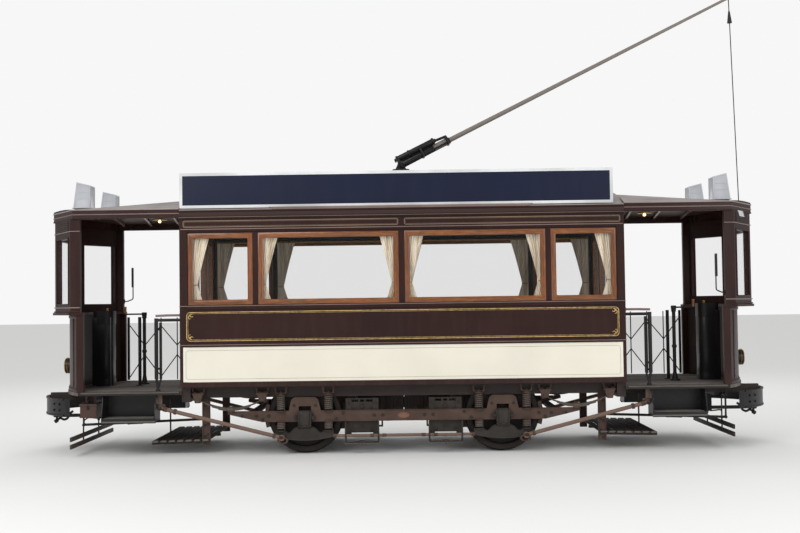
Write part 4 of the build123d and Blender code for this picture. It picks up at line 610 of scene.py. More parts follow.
def moulding(points, depth, low, high, soft=0.4, closed=False):
    """A mitred strip that follows a plan line, standing out to the right of its run."""
    runs = []
    for start, end in zip(points, points[1:] + (points[:1] if closed else [])):
        runs.append((Vector(start), (Vector(end) - Vector(start)).normalized(), Vector(end)))
    parts = []
    for number, (start, along, end) in enumerate(runs):
        out = Vector((along.y, -along.x))
        length = (end - start).length
        strip = block((-0.12, 0, low), (length + 0.12, depth, high))
        ease(strip, min(depth, high - low) * soft, 3, 60)
        turn = Matrix(((along.x, out.x, 0), (along.y, out.y, 0), (0, 0, 1))).to_4x4()
        strip.data.transform(Matrix.Translation((start.x, start.y, 0)) @ turn)
        if turn.determinant() < 0:
            strip.data.flip_normals()
        for corner, other in ((start, number - 1), (end, number + 1)):
            outward = along if corner is end else -along
            if 0 <= other < len(runs) or closed:
                across = (along + runs[other % len(runs)][1]).normalized()
                outward = across if corner is end else -across
            choose(strip)
            bpy.ops.object.mode_set(mode="EDIT")
            bpy.ops.mesh.select_all(action="SELECT")
            bpy.ops.mesh.bisect(
                plane_co=(corner.x, corner.y, 0),
                plane_no=(outward.x, outward.y, 0),
                clear_outer=True,
                use_fill=True,
            )
            done()
        parts.append(strip)
    return joined(parts)


def bolt(place, axis, size=0.011, rise=0.010):
    """A square of washer and a hexagon head, on a surface that faces along axis."""
    out = Vector(axis).normalized()
    foot = Vector(place)
    washer = round_bar(foot, foot + out * rise * 0.25, size * 1.5, 12)
    head = round_bar(foot + out * rise * 0.25, foot + out * rise, size, 6, size * 0.92)
    return joined([washer, head])


# Places on the car, in metres, read from the frame where a node gives them

SIDES = (-1, 1)
half_saloon, side_y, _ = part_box("side_frames")[1]
sash_low, sash_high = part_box("sashes")
rail_y_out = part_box("curtain_rails")[1].y - 0.022
floor_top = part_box("platform_floors")[1].z
# Middle and width of each window
windows = ((-2.0875, 0.747), (-0.8425, 1.615), (0.8425, 1.615), (2.0875, 0.747))
half_base, axle_z = 1.143, 0.439
spring_reach, spring_y = 0.275, 0.845
bar_face_y = 0.8455
rod_y, level_rod_z = 0.870, 0.212
badge_z = 0.4375
# The dashes' and the bumpers' plan arcs: the middle on the right end, and the radius
dash_centre, dash_radius = half_saloon + 1.494 - 1.654, 1.654
bumper_centre, bumper_radius = half_saloon + 1.812 - 0.808, 0.8085
nose_y = 0.430
headlamp_x, headlamp_z = half_saloon + 1.612, 1.010
# Place along the car and lowest point of the rods that hang each end's life guard gate
gate_rods = {-1: (3.860, 0.120), 1: (3.806, 0.177)}
gate_rod_y = 0.325
guard_post_x, guard_post_y = half_saloon - 0.245, 0.690


# Sashes


def sash_frame(centre, width):
    """One near-side sash: square frame, rounded outside, with a moulded inner edge."""
    low, high = sash_low.z, sash_high.z
    front = sash_low.y
    sash = block(
        (centre - width / 2, front, low),
        (centre + width / 2, front + 0.032, high),
    )
    pick(sash, lambda face: face.normal.y < -0.9)
    bpy.ops.mesh.inset(thickness=0.044)
    bpy.ops.mesh.bevel(offset=0.030, segments=6, affect="VERTICES")
    done()
    middle = (low + high) / 2
    pick(
        sash,
        lambda face: face.normal.y < -0.9
        and abs(face.center.x - centre) < 0.02
        and abs(face.center.z - middle) < 0.02,
    )
    bpy.ops.mesh.inset(thickness=0.006, depth=-0.004)
    bpy.ops.mesh.inset(thickness=0.010, depth=-0.005)
    bpy.ops.mesh.delete(type="FACE")
    done()
    pick(sash, lambda face: face.normal.y > 0.9)
    bpy.ops.mesh.inset(thickness=0.060)
    bpy.ops.mesh.delete(type="FACE")
    bpy.ops.mesh.select_mode(type="EDGE")
    bpy.ops.mesh.select_non_manifold()
    bpy.ops.mesh.bridge_edge_loops()
    done()
    ease(sash, 0.0025, 2, 50)
    stile = 0.062
    sash.data.materials.append(finishes["rail_wood"])
    sash.data.materials.append(finishes["stile_wood"])
    for face in sash.data.polygons:
        upright = abs(face.center.x - centre) > width / 2 - stile
        near_rail = min(face.center.z - low, high - face.center.z)
        near_stile = width / 2 - abs(face.center.x - centre)
        face.material_index = int(upright and near_stile < near_rail)
    return sash


def fit_sashes():
    frames = [sash_frame(centre, width) for centre, width in windows]
    fitted(both(frames, 1), "sash_frames", "varnished_wood", replaces=["sashes"], angle=40)


# Curtains


curtain_width, tie_z = 0.23, 1.965


def curtain(x, way, edge):
    """Gathered cloth on the rail, caught by a tie, its outer edge straight beside the sash."""
    top, bottom, tie = 2.5415, 1.7245, tie_z
    bpy.ops.object.select_all(action="DESELECT")
    bpy.ops.mesh.primitive_grid_add(
        x_subdivisions=72,
        y_subdivisions=48,
        size=1,
        rotation=(pi / 2, 0, 0),
    )
    cloth = settle()
    folds = 7
    for point in cloth.data.vertices:
        across = point.co.x
        height = bottom + (point.co.z + 0.5) * (top - bottom)
        if height > tie:
            drawn = 1 - ((height - tie) / (top - tie)) ** 1.15
        else:
            drawn = 1 - 0.55 * (tie - height) / (tie - bottom)
        spread = curtain_width * (1 - 0.68 * drawn)
        lean = (0.5 - 0.5 * edge * 2 * across) * drawn
        pleat = cos(2 * pi * folds * (across + 0.015 * sin(5 * height + 7 * x)))
        depth = 0.0125 - 0.0040 * drawn + 0.0012 * sin(4 * height + 11 * across)
        sag = 0.010 * lean * sin(pi * (height - bottom) / (top - bottom))
        point.co = (
            x + edge * (curtain_width - spread) / 2 + across * spread - edge * sag,
            way * (rail_y_out - 0.002) + pleat * depth,
            height,
        )
    apply(cloth, "SOLIDIFY", thickness=0.0012, offset=0)
    return cloth


def hang_curtains():
    """A pair at each wide window and one at the narrow ones, clear of the sliding doors."""
    reach = 2.327
    for side, way in (("near", -1), ("far", 1)):
        number = 0
        for centre, width in windows:
            for edge in (-1, 1):
                if width < 1 and edge * centre < 0:
                    continue
                number += 1
                x = max(-reach, min(reach, centre + edge * (width - curtain_width) / 2))
                cloth = curtain(x, way, edge)
                piece = fitted([cloth], f"curtain_{side}_{number}", "curtain_cloth", angle=80)
                if (side, number) == ("near", 1):
                    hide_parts("curtains")
                spot = (x + edge * 0.078, way * rail_y_out, tie_z)
                tie = ring(spot, (0, 0, 1), 0.042, 0.0045, 28, 8)
                flat = Matrix.Scale(0.32, 4, (0, 1, 0))
                tie.data.transform(Matrix.Translation((0, way * rail_y_out * 0.68, 0)) @ flat)
                fitted([tie], f"curtain_tie_{side}_{number}", "brass")


# Painted lining: thin raised lines of paint


def line_frame(x_low, x_high, z_low, z_high, way, y, width, corner):
    """A closed line with round corners, standing a hair proud of the panel at y."""
    bpy.ops.object.select_all(action="DESELECT")
    middle = ((x_low + x_high) / 2, way * y, (z_low + z_high) / 2)
    bpy.ops.mesh.primitive_plane_add(size=1, location=middle, rotation=(pi / 2, 0, 0))
    bpy.context.object.scale = (x_high - x_low, z_high - z_low, 1)
    line = settle()
    bpy.ops.object.mode_set(mode="EDIT")
    bpy.ops.mesh.select_all(action="SELECT")
    bpy.ops.mesh.bevel(offset=corner, segments=8, affect="VERTICES")
    bpy.ops.mesh.select_mode(type="FACE")
    bpy.ops.mesh.select_all(action="SELECT")
    bpy.ops.mesh.inset(thickness=width)
    bpy.ops.mesh.delete(type="FACE")
    bpy.ops.mesh.select_all(action="SELECT")
    bpy.ops.mesh.extrude_region_move(TRANSFORM_OT_translate={"value": (0, way * 0.0012, 0)})
    done()
    return line


def scroll(x, z, way, y, out_x, out_z):
    """A corner ornament: two small scrolls and a bud, turned into the frame's corner."""
    parts = []
    for radius, dx, dz, share in ((0.017, 0.030, 0.010, 0.72), (0.017, 0.010, 0.030, 0.72)):
        curl = ring((0, 0, 0), (0, 1, 0), radius, 0.0032, 32, 6)
        keep = share * 2 * pi
        start = atan2(-dz, -dx)
        pick(
            curl,
            lambda face: (atan2(face.center.z, face.center.x) - start) % (2 * pi) > keep,
        )
        bpy.ops.mesh.delete(type="FACE")
        bpy.ops.mesh.select_all(action="SELECT")
        bpy.ops.mesh.fill_holes(sides=12)
        done()
        place = (x - out_x * (dx + 0.012), way * y, z - out_z * (dz + 0.012))
        flip = Matrix.Diagonal((out_x, 0.4, out_z, 1))
        curl.data.transform(Matrix.Translation(place) @ flip)
        parts.append(curl)
    bud = round_bar((0, 0, 0), (0, 0, 0.034), 0.0065, 10, 0.001)
    turn = Matrix.Rotation(atan2(-out_x, -out_z), 4, "Y")
    bud.data.transform(
        Matrix.Translation((x - out_x * 0.016, way * y, z - out_z * 0.016))
        @ Matrix.Diagonal((1, 0.3, 1, 1))
        @ turn
    )
    return [*parts, bud]


def line_panels():
    """Gold lines on the waist panels, dun ones on the letterboards, and the rockers' skins."""
    gold = []
    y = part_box("waist_panels")[1].y
    for way in SIDES:
        for inset, width, corner in ((0.0, 0.007, 0.045), (0.017, 0.003, 0.034)):
            edges = (-2.477 + inset, 2.477 - inset, 1.320 + inset, 1.655 - inset)
            gold.append(line_frame(*edges, way, y, width, corner))
        for out_x in SIDES:
            for out_z in SIDES:
                z = 1.638 if out_z > 0 else 1.337
                gold += scroll(out_x * 2.458, z, way, y + 0.0006, out_x, out_z)
    fitted(gold, "waist_lining", "brass", finish="gold_leaf")
    pale = []
    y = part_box("letterboards")[1].y
    for way in SIDES:
        for x_low, x_high in ((-2.51, -0.035), (0.035, 2.51)):
            pale.append(line_frame(x_low, x_high, 2.628, 2.705, way, y, 0.005, 0.020))
            pale.append(line_frame(x_low + 0.012, x_high - 0.012, 2.640, 2.693, way, y, 0.002, 0.012))
    fitted(pale, "letterboard_lining", "brass", finish="dun_line")
    thin, skins = [], []
    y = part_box("rocker_panels")[1].y
    for way in SIDES:
        thin.append(line_frame(-2.485, 2.485, 0.885, 1.215, way, y + 0.0015, 0.0028, 0.030))
        skin = block((-2.515, way * (y - 0.004), 0.855), (2.515, way * (y + 0.0015), 1.2515))
        skins.append(ease(skin, 0.001, 1))
    fitted(thin, "rocker_lining", "brown_paint", finish="thin_line")
    fitted(skins, "rocker_skins", "cream_paint")


# Running gear


def coil(x, y, low, high, turns, radius, wire):
    """A helical spring: a round wire swept up the axis by the screw modifier."""
    bpy.ops.object.select_all(action="DESELECT")
    bpy.ops.mesh.primitive_circle_add(
        vertices=10,
        radius=wire,
        location=(radius - wire, 0, wire),
        rotation=(pi / 2, 0, 0),
    )
    spring = settle()
    rise = (high - low - 2 * wire) / turns
    apply(spring, "SCREW", screw_offset=rise, iterations=turns, steps=28, render_steps=28)
    choose(spring)
    bpy.ops.object.mode_set(mode="EDIT")
    bpy.ops.mesh.select_all(action="SELECT")
    bpy.ops.mesh.remove_doubles(threshold=0.0001)
    bpy.ops.mesh.fill_holes(sides=12)
    done()
    spring.data.transform(Matrix.Translation((x, y, low)))
    return spring


def coil_springs():
    """Wound springs above and below the side bars, with guides inside them. The guides are spindles, and
    their near-black finish is painted shade for the dark inside of the coils.
    """
    low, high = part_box("coil_springs")
    bar_low, bar_high = 0.374, 0.501
    springs, guides = [], []
    for axle_x in (-half_base, half_base):
        for offset in (-spring_reach, spring_reach):
            x = axle_x + offset
            y = low.y + 0.05
            springs.append(coil(x, y, bar_high + 0.003, high.z - 0.003, 7, 0.0495, 0.0080))
            springs.append(coil(x, y, low.z + 0.003, bar_low - 0.003, 4, 0.0495, 0.0080))
            # guides: spindles whose near-black finish is painted shade inside the coils
            guides.append(round_bar((x, y, bar_high), (x, y, high.z - 0.002), 0.031, 24, 0.028))
            guides.append(round_bar((x, y, low.z + 0.002), (x, y, bar_low), 0.028, 24, 0.031))
    fitted(both(springs, 1), "helical_springs", "spring_steel", replaces=["coil_springs"], angle=60)
    fitted(both(guides, 1), "spring_guides", "truck_iron", finish="painted_bore_shade")


leaf_x, leaf_z = 1.992, 0.537


def leaf_height(share):
    """Height of the top leaf above its middle, at a share of its half length."""
    return 0.100 * share * share


def leaf_pack(middle_x, half, y):
    """Four curved leaves with stepped, rounded ends, a buckle and its bolts."""
    parts = []
    for leaf in range(4):
        length = half - leaf * 0.075
        plate = block((-length, -0.033, 0), (length, 0.033, 0.008))
        pick(plate, lambda face: True)
        bpy.ops.mesh.select_all(action="SELECT")
        bpy.ops.mesh.subdivide(number_cuts=1)
        done()
        apply(plate, "BEVEL", width=0.0015, segments=1, limit_method="ANGLE")
        sliced(plate, [-length + 2 * length * step / 12 for step in range(1, 12)])
        for point in plate.data.vertices:
            point.co.z += leaf_height(abs(point.co.x) / half) - leaf * 0.009
        parts.append(plate)
    buckle = block((-0.033, -0.040, -0.040), (0.033, 0.040, 0.016))
    ease(buckle, 0.005)
    parts.append(buckle)
    for dx in (-0.018, 0.018):
        parts.append(ease(round_bar((dx, 0, 0.014), (dx, 0, 0.030), 0.009, 6), 0.0015, 1))
    pack = joined(parts)
    pack.data.transform(Matrix.Translation((middle_x, y, leaf_z)))
    return pack


def leaf_springs():
    """The four leaf packs with an eye at each end."""
    y = -spring_y
    pack = leaf_pack(0, 0.372, y)
    for x, z in ((-0.361, leaf_z + 0.108), (0.382, leaf_z + 0.098)):
        eye = round_bar((x, y - 0.033, z), (x, y + 0.033, z), 0.021, 20)
        pack = joined([ease(eye, 0.002, 1), pack])
    pack.data.transform(Matrix.Translation((leaf_x, 0, 0)))
    packs = both(both([pack], 0), 1)
    fitted(packs, "leaf_packs", "spring_steel", replaces=["leaf_springs"], angle=40)


def fork(x, y, half, low, top, leg=0.0115):
    """A seat whose two round legs bend up to the side rail, with nuts under the seat."""
    parts = []
    for way in SIDES:
        path = rounded(
            [
                (x + way * half * 0.25, y, low + leg),
                (x + way * half, y, low + leg),
                (x + way * (half + 0.004), y, top),
            ],
            0.020,
        )
        parts.append(bent_rod(path, leg))
        nut_x = x + way * (half + 0.004)
        parts.append(round_bar((nut_x, y, top - 0.020), (nut_x, y, top - 0.006), 0.019, 6))
    return parts


def bracket_castings():
    """Forked caps on the upper springs, and forked hangers at the leaf springs' eyes."""
    parts, rail = [], 0.780
    y = -spring_y
    for axle_x in (-half_base, half_base):
        for offset in (-spring_reach, spring_reach):
            x = axle_x + offset
            parts.append(ease(round_bar((x, y, 0.676), (x, y, 0.690), 0.053, 32), 0.003, 2))
            parts.append(ease(round_bar((x, y, 0.688), (x, y, 0.708), 0.032, 24, 0.022), 0.003, 2))
            parts += fork(x, y, 0.058, 0.690, rail)
            parts.append(bolt((x, y, 0.707), (0, 0, 1), 0.012, 0.018))
    for x, eye_z in ((1.631, 0.6405), (2.374, 0.6305)):
        saddle = block((x - 0.072, y - 0.040, 0.700), (x + 0.072, y + 0.040, 0.720))
        parts.append(ease(saddle, 0.005, 2))
        parts += fork(x, y, 0.064, 0.712, rail)
        for cheek_y in (y - 0.0450, y + 0.0345):
            cheek = block((x - 0.062, cheek_y, eye_z - 0.026), (x + 0.062, cheek_y + 0.0105, 0.712))
            for point in cheek.data.vertices:
                if point.co.z < 0.65:
                    point.co.x = x + (point.co.x - x) * 0.52
            parts.append(ease(cheek, 0.004, 2, 50))
        pin_y = y - 0.046
        parts.append(ease(round_bar((x, pin_y, eye_z), (x, y + 0.046, eye_z), 0.0135, 20), 0.002, 1))
        parts.append(ease(round_bar((x, pin_y - 0.010, eye_z), (x, pin_y, eye_z), 0.024, 24), 0.003, 2))
    for part in list(parts):
        if part.data.vertices[0].co.x > 1.5:
            parts.append(mirrored(part, 0))
    fitted(both(parts, 1), "spring_forks", "truck_iron", replaces=["spring_brackets"], angle=40)


def axle_box_castings():
    """Boxes with a bulged lid on a hinge, bolted ears, and a keep under each."""
    boxes, cradles = [], []
    for x in (-half_base, half_base):
        body = block((x - 0.0698, -0.884, 0.301), (x + 0.0698, -0.800, 0.500))
        boxes.append(ease(body, 0.006, 2))
        face = block((x - 0.086, -0.896, 0.312), (x + 0.086, -0.848, 0.494))
        for point in face.data.vertices:
            if point.co.z < 0.4:
                point.co.x = x + (point.co.x - x) * 0.86
        boxes.append(ease(face, 0.010, 3))
        lid = block((x - 0.062, -0.918, 0.336), (x + 0.062, -0.893, 0.492))
        pick(lid, lambda face: face.normal.y < -0.9)
        bpy.ops.mesh.inset(thickness=0.016, depth=0.010)
        done()
        for point in lid.data.vertices:
            if point.co.z < 0.41:
                point.co.x = x + (point.co.x - x) * 0.80
        boxes.append(ease(lid, 0.005, 3))
        boxes.append(round_bar((x - 0.052, -0.905, 0.497), (x + 0.052, -0.905, 0.497), 0.010, 16))
        for way in SIDES:
            ear = block((x + way * 0.080, -0.892, 0.398), (x + way * 0.118, -0.8465, 0.444))
            boxes.append(ease(ear, 0.008, 3))
            boxes.append(bolt((x + way * 0.102, -0.892, 0.421), (0, -1, 0), 0.012, 0.014))
            boxes.append(bolt((x + way * 0.066, -0.8965, 0.330), (0, -1, 0), 0.009, 0.012))
        boxes.append(ease(block((x - 0.020, -0.922, 0.322), (x + 0.020, -0.894, 0.340)), 0.004, 2))
        cradle = block((x - 0.335, -0.8845, 0.160), (x + 0.335, -0.8055, 0.279))
        sliced(cradle, [x - 0.335 + 0.67 * step / 30 for step in range(1, 30)])
        for point in cradle.data.vertices:
            reach = abs(point.co.x - x)
            if point.co.z > 0.22:
                share = max(0.0, min(1.0, (0.225 - reach) / 0.145))
                point.co.z = 0.278 - 0.030 * sin(pi * min(1.0, share * 1.6)) + 0.048 * share**2
                if reach < 0.072:
                    point.co.z = 0.300
            else:
                point.co.z = 0.160 + 0.047 * (reach / 0.335) ** 2
        pick(cradle, lambda face: face.normal.y < -0.9)
        bpy.ops.mesh.inset(thickness=0.011, depth=-0.009)
        done()
        cradles.append(ease(cradle, 0.003, 2, 40))
        for way in SIDES:
            spot_x, y = x + way * spring_reach, -spring_y
            seat = round_bar((spot_x, y, 0.262), (spot_x, y, 0.2785), 0.058, 32)
            cradles.append(ease(seat, 0.004, 2))
            cradles.append(ease(round_bar((spot_x, y, 0.214), (spot_x, y, 0.190), 0.020, 6), 0.003, 1))
    for parts, name, node in (
        (boxes, "axle_box_castings", "axle_boxes"),
        (cradles, "cradle_castings", "spring_cradles"),
    ):
        fitted(both(parts, 1), name, "truck_iron", finish="box_iron", replaces=[node])


def truck_trim():
    """Bolts and washers on the side bars and straps, rims, collars, nuts and rod eyes."""
    parts, bolts = [], []
    bar_y, strap_y = -bar_face_y, -0.797
    for y, size, rise, places in (
        (bar_y, 0.013, 0.016, ((1.559, 0.446), (1.702, 0.446), (1.869, 0.446))),
        (bar_y, 0.013, 0.014, ((1.630, 0.402), (0.339, 0.440), (0.241, 0.440), (0.70, 0.470), (0.78, 0.402))),
        (bar_y, 0.012, 0.012, ((half_base - 0.125, 0.560), (half_base + 0.125, 0.560))),
        (-0.8055, 0.012, 0.014, ((0.639, 0.575), (0.639, 0.345), (0.325, 0.575), (0.325, 0.345))),
        (strap_y, 0.014, 0.018, ((0.372, 0.270), (0.482, 0.306), (0.592, 0.270))),
        (strap_y, 0.019, 0.024, ((0.482, 0.540),)),
        (strap_y, 0.010, 0.012, ((0.375, 0.520), (0.590, 0.520))),
        (-0.9395, 0.013, 0.012, ((1.410, 0.204),)),
    ):
        bolts += [bolt((x, y, z), (0, -1, 0), size, rise) for x, z in places]
    for x_low, x_high, z_low, z_high in (
        (0.02, 0.86, 0.374, 0.382),
        (0.02, 0.86, 0.493, 0.501),
        (1.42, 1.64, 0.493, 0.501),
    ):
        parts.append(ease(block((x_low, -0.851, z_low), (x_high, -0.8452, z_high)), 0.002, 1))
    inner, outer = Vector((1.403, -0.912, 0.200)), Vector((2.806, -0.912, 0.558))
    run = (outer - inner).normalized()
    for along, size, length in ((0.075, 0.031, 0.030), (1.25, 0.034, 0.034), (1.36, 0.030, 0.050)):
        low = inner + run * along
        collar = round_bar(low, low + run * length, size, 6 if along > 1 else 18)
        parts.append(ease(collar, 0.003, 1))
    eye = ring((0, 0, 0), (0, 1, 0), 0.046, 0.011, 36, 10)
    eye.data.transform(Matrix.Translation((1.392, -0.925, 0.168)) @ Matrix.Diagonal((1.15, 1, 0.7, 1)))
    parts.append(eye)
    parts.append(ease(block((1.372, -0.940, 0.186), (1.436, -0.932, 0.222)), 0.003, 1))
    parts.append(bolt((2.806, -0.936, 0.558), (0, -1, 0), 0.019, 0.016))
    parts.append(ease(block((2.740, -0.916, 0.575), (2.872, -0.900, 0.600)), 0.004, 2))
    for x, length, size, sides, soft, steps in (
        (0.20, 0.05, 0.021, 6, 0.003, 1),
        (0.34, 0.05, 0.021, 6, 0.003, 1),
        (0.775, 0.04, 0.024, 16, 0.004, 2),
    ):
        nut = round_bar((x, -rod_y, level_rod_z), (x + length, -rod_y, level_rod_z), size, sides)
        parts.append(ease(nut, soft, steps))
    parts.append(bolt((0.482, -0.870, 0.126), (0, 0, -1), 0.014, 0.012))
    parts.append(ease(block((0.446, -0.897, 0.139), (0.518, -0.843, 0.150)), 0.003, 1))
    for dx in (-0.024, 0.024):
        for z in (0.553, 0.512):
            parts.append(bolt((leaf_x + dx * 0.7, -0.886, z), (0, -1, 0), 0.007, 0.008))
    fitted(both(both(parts, 0), 1), "truck_fittings", "truck_iron")
    fitted(both(both(bolts, 0), 1), "truck_bolts", "truck_iron", finish="bolt_iron")


def oval_plates():
    """A blank oval plate on each side bar, with a raised edge and two rivets."""
    badges = []
    for way in SIDES:
        badge = round_bar((0, way * bar_face_y, badge_z), (0, way * 0.851, badge_z), 0.05, 40)
        for point in badge.data.vertices:
            point.co.x *= 1.35
            point.co.z = badge_z + (point.co.z - badge_z) * 0.64
        pick(badge, lambda face: face.normal.y * way > 0.9)
        bpy.ops.mesh.inset(thickness=0.006)
        bpy.ops.mesh.inset(thickness=0.003, depth=-0.004)
        done()
        badges.append(badge)
        for sign in SIDES:
            badges.append(rivet((sign * 0.052, way * 0.851, badge_z), (0, way, 0), 0.004, 0.003))
    fitted(badges, "blank_oval_plates", "truck_iron", finish="badge_paint")


def strap_trim():
    """Plates on the upright straps, the worn foot of the U below them, and the level rods."""
    plates = [
        ease(block((0.340, -0.797, 0.480), (0.624, -0.790, 0.592)), 0.002, 1),
        ease(block((0.340, -0.797, 0.616), (0.624, -0.790, 0.634)), 0.002, 1),
    ]
    for x in (0.352, 0.448, 0.516, 0.612):
        plates.append(block((x - 0.011, -0.796, 0.590), (x + 0.011, -0.791, 0.618)))
    web = block((0.330, -0.800, 0.236), (0.634, -0.792, 0.376))
    pick(web, lambda face: face.normal.y < -0.9)
    bpy.ops.mesh.inset(thickness=0.018)
    bpy.ops.mesh.inset(thickness=0.004, depth=-0.003)
    done()
    plates.append(ease(web, 0.0015, 1))
    for x in (0.292, 0.672):
        plates.append(ease(block((x - 0.0085, -0.893, 0.134), (x + 0.0085, -0.847, 0.372)), 0.003, 2))
    foot = ease(block((0.284, -0.893, 0.119), (0.680, -0.847, 0.138)), 0.005, 2)
    rod = round_bar((0.0, -rod_y, level_rod_z), (0.80, -rod_y, level_rod_z), 0.0175, 20)
    for pieces, name, finish in (
        (plates, "strap_plates", "box_iron"),
        ([foot], "strap_loops", "wear_and_sunlight"),
        ([rod], "level_rods", "rod_iron"),
    ):
        fitted(both(both(pieces, 0), 1), name, "truck_iron", finish=finish)


def wheel_faces():
    """Hub bolts and a rim bead on each wheel's outer face."""
    for body, axle_x in (("wheelset_left", -half_base), ("wheelset_right", half_base)):
        parts = []
        for way in SIDES:
            parts.append(ring((axle_x, way * 0.7755, axle_z), (0, 1, 0), 0.368, 0.005, 64, 8))
            for spoke in range(8):
                angle = 2 * pi * spoke / 8
                place = (axle_x + 0.083 * cos(angle), way * 0.7805, axle_z + 0.083 * sin(angle))
                parts.append(bolt(place, (0, way, 0), 0.010, 0.012))
        fitted(parts, f"{body}_bolts", "wheel_steel", body=body)


# Gates


def lattice_bar(start, end, y, width=0.013, thick=0.004):
    """A flat link with rounded ends between two rivets."""
    run = Vector((end[0] - start[0], 0, end[1] - start[1]))
    half = run.length / 2
    link = block((-half - 0.008, -thick / 2, -width / 2), (half + 0.008, thick / 2, width / 2))
    pick(link, lambda face: False)
    bpy.ops.mesh.select_mode(type="EDGE")
    done()
    for edge in link.data.edges:
        a, b = (link.data.vertices[n].co for n in edge.vertices)
        edge.select = abs(a.y - b.y) > 1e-5
    bpy.ops.object.mode_set(mode="EDIT")
    bpy.ops.mesh.bevel(offset=width * 0.45, segments=4)
    done()
    turn = Matrix.Rotation(-atan2(run.z, run.x), 4, "Y")
    middle = ((start[0] + end[0]) / 2, y, (start[1] + end[1]) / 2)
    link.data.transform(Matrix.Translation(middle) @ turn)
    return link


def rivet(place, axis, radius=0.007, rise=0.005):
    """A domed rivet head on a surface facing along axis."""
    bpy.ops.object.select_all(action="DESELECT")
    bpy.ops.mesh.primitive_uv_sphere_add(segments=10, ring_count=6, radius=1)
    head = settle()
    bpy.ops.object.mode_set(mode="EDIT")
    bpy.ops.mesh.select_all(action="SELECT")
    bpy.ops.mesh.bisect(plane_co=(0, 0, 0), plane_no=(0, 0, -1), clear_outer=True, use_fill=True)
    done()
    turn = Vector(axis).to_track_quat("Z", "Y").to_matrix().to_4x4()
    head.data.transform(Matrix.Translation(place) @ turn @ Matrix.Diagonal((radius, radius, rise, 1)))
    return head


def gate_lattices():
    """Pickets and two rows of links, drawn out across the far entrances."""
    rows = ((1.215, 1.475), (1.090, 0.805))
    rivet_heights = (1.475, 1.215, 1.090, 0.805)
    stile_x = 3.636
    first_x = half_saloon + 0.012
    pitch = (stile_x - first_x) / 5
    for end, sign in (("left", -1), ("right", 1)):
        node = f"gate_lattice_{end}"
        low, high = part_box(node)
        y = (low.y + high.y) / 2
        parts = []
        for picket in range(5):
            x = sign * (first_x + picket * pitch)
            bar = block((x - 0.007, y, low.z), (x + 0.007, y + 0.006, high.z))
            parts.append(ease(bar, 0.002, 2))
            for z in rivet_heights:
                parts.append(rivet((x, y - 0.0025, z), (0, -1, 0), 0.006))
        for low_z, high_z in rows:
            for bay in range(5):
                a, b = (low_z, high_z) if bay % 2 == 0 else (high_z, low_z)
                start = sign * (first_x + bay * pitch)
                end_x = sign * (first_x + (bay + 1) * pitch)
                if bay == 4:
                    end_x = sign * (stile_x - 0.020)
                parts.append(lattice_bar((start, a), (end_x, b), y - 0.0025))
        piece = fitted(parts, f"gate_links_{end}", "dark_iron", replaces=[node], angle=40)
        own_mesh(piece)


# Platform fittings


def controllers():
    """Cabinets with a rounded, ribbed front, a lid, and a brass top with two handles. A pale steel strip runs
    down each rounded front, and its pale grey is partly a painted highlight on that curve.
    """
    for end, sign in (("left", -1), ("right", 1)):
        middle = -sign * 0.100
        iron_parts, brass_parts = [], []
        case = block((-0.120, -0.135, 0.01), (0.120, 0.135, 0.845))
        pick(case, lambda face: False)
        done()
        for edge in case.data.edges:
            a, b = (case.data.vertices[n].co for n in edge.vertices)
            edge.select = abs(a.z - b.z) > 0.1 and (a.x * -sign) > 0
        bpy.ops.object.mode_set(mode="EDIT")
        bpy.ops.mesh.select_mode(type="EDGE")
        bpy.ops.mesh.bevel(offset=0.095, segments=10)
        done()
        ease(case, 0.004, 2, 50)
        iron_parts.append(case)
        for z_low, z_high, grow in ((0.0, 0.045, 0.004), (0.835, 0.862, 0.006), (0.40, 0.418, 0.003)):
            band = block((-0.120 - grow, -0.135 - grow, z_low), (0.120 + grow, 0.135 + grow, z_high))
            for edge in band.data.edges:
                a, b = (band.data.vertices[n].co for n in edge.vertices)
                edge.select = abs(a.z - b.z) > 0.01 and (a.x * -sign) > 0
            choose(band)
            bpy.ops.object.mode_set(mode="EDIT")
            bpy.ops.mesh.select_mode(type="EDGE")
            bpy.ops.mesh.bevel(offset=0.097, segments=10)
            done()
            iron_parts.append(ease(band, 0.004, 2, 50))
        # cover strip: a steel strip whose pale grey is partly a painted highlight on the rounded front
        strip = ease(block((-0.018, -0.004, 0.0), (0.018, 0.008, 0.850)), 0.002, 2)
        turn = Matrix.Rotation(radians(-45), 4, "Z")
        strip.data.transform(Matrix.Translation((-sign * 0.094, sign * 0.109, 0)) @ turn)
        cover = [strip]
        for z in (0.12, 0.42, 0.72):
            spot = Vector((-sign * 0.101, sign * 0.116, z))
            cover.append(bolt(spot, (-sign, sign, 0), 0.007, 0.008))
        dial = round_bar((0, 0, 0.86), (0, 0, 0.874), 0.088, 40)
        brass_parts.append(ease(dial, 0.004, 2))
        brass_parts.append(ease(round_bar((0, 0, 0.87), (0, 0, 0.905), 0.017, 20), 0.003))
        arm = block((-0.012, -0.010, 0.895), (0.012, 0.125, 0.910))
        brass_parts.append(ease(arm, 0.005, 3))
        brass_parts.append(ease(round_bar((0, 0.115, 0.900), (0, 0.115, 0.962), 0.013, 20, 0.016), 0.005, 3))
        brass_parts.append(ease(round_bar((0.02, -0.085, 0.86), (0.02, -0.085, 0.885), 0.010, 16), 0.002))
        brass_parts.append(ease(block((-0.045, -0.092, 0.880), (0.030, -0.078, 0.890)), 0.003))
        place = Matrix.Translation((sign * 3.715, middle, 0.750))
        for part in iron_parts + brass_parts + cover:
            part.data.transform(place)
        name = f"controller_case_{end}"
        replaced = ["controllers"] if end == "left" else []
        fitted(iron_parts, name, "black_paint", finish="cast_enamel", replaces=replaced)
        fitted(brass_parts, f"controller_top_{end}", "brass")
        fitted(cover, f"controller_cover_strip_{end}", "black_paint", finish="strip_steel_and_highlight")


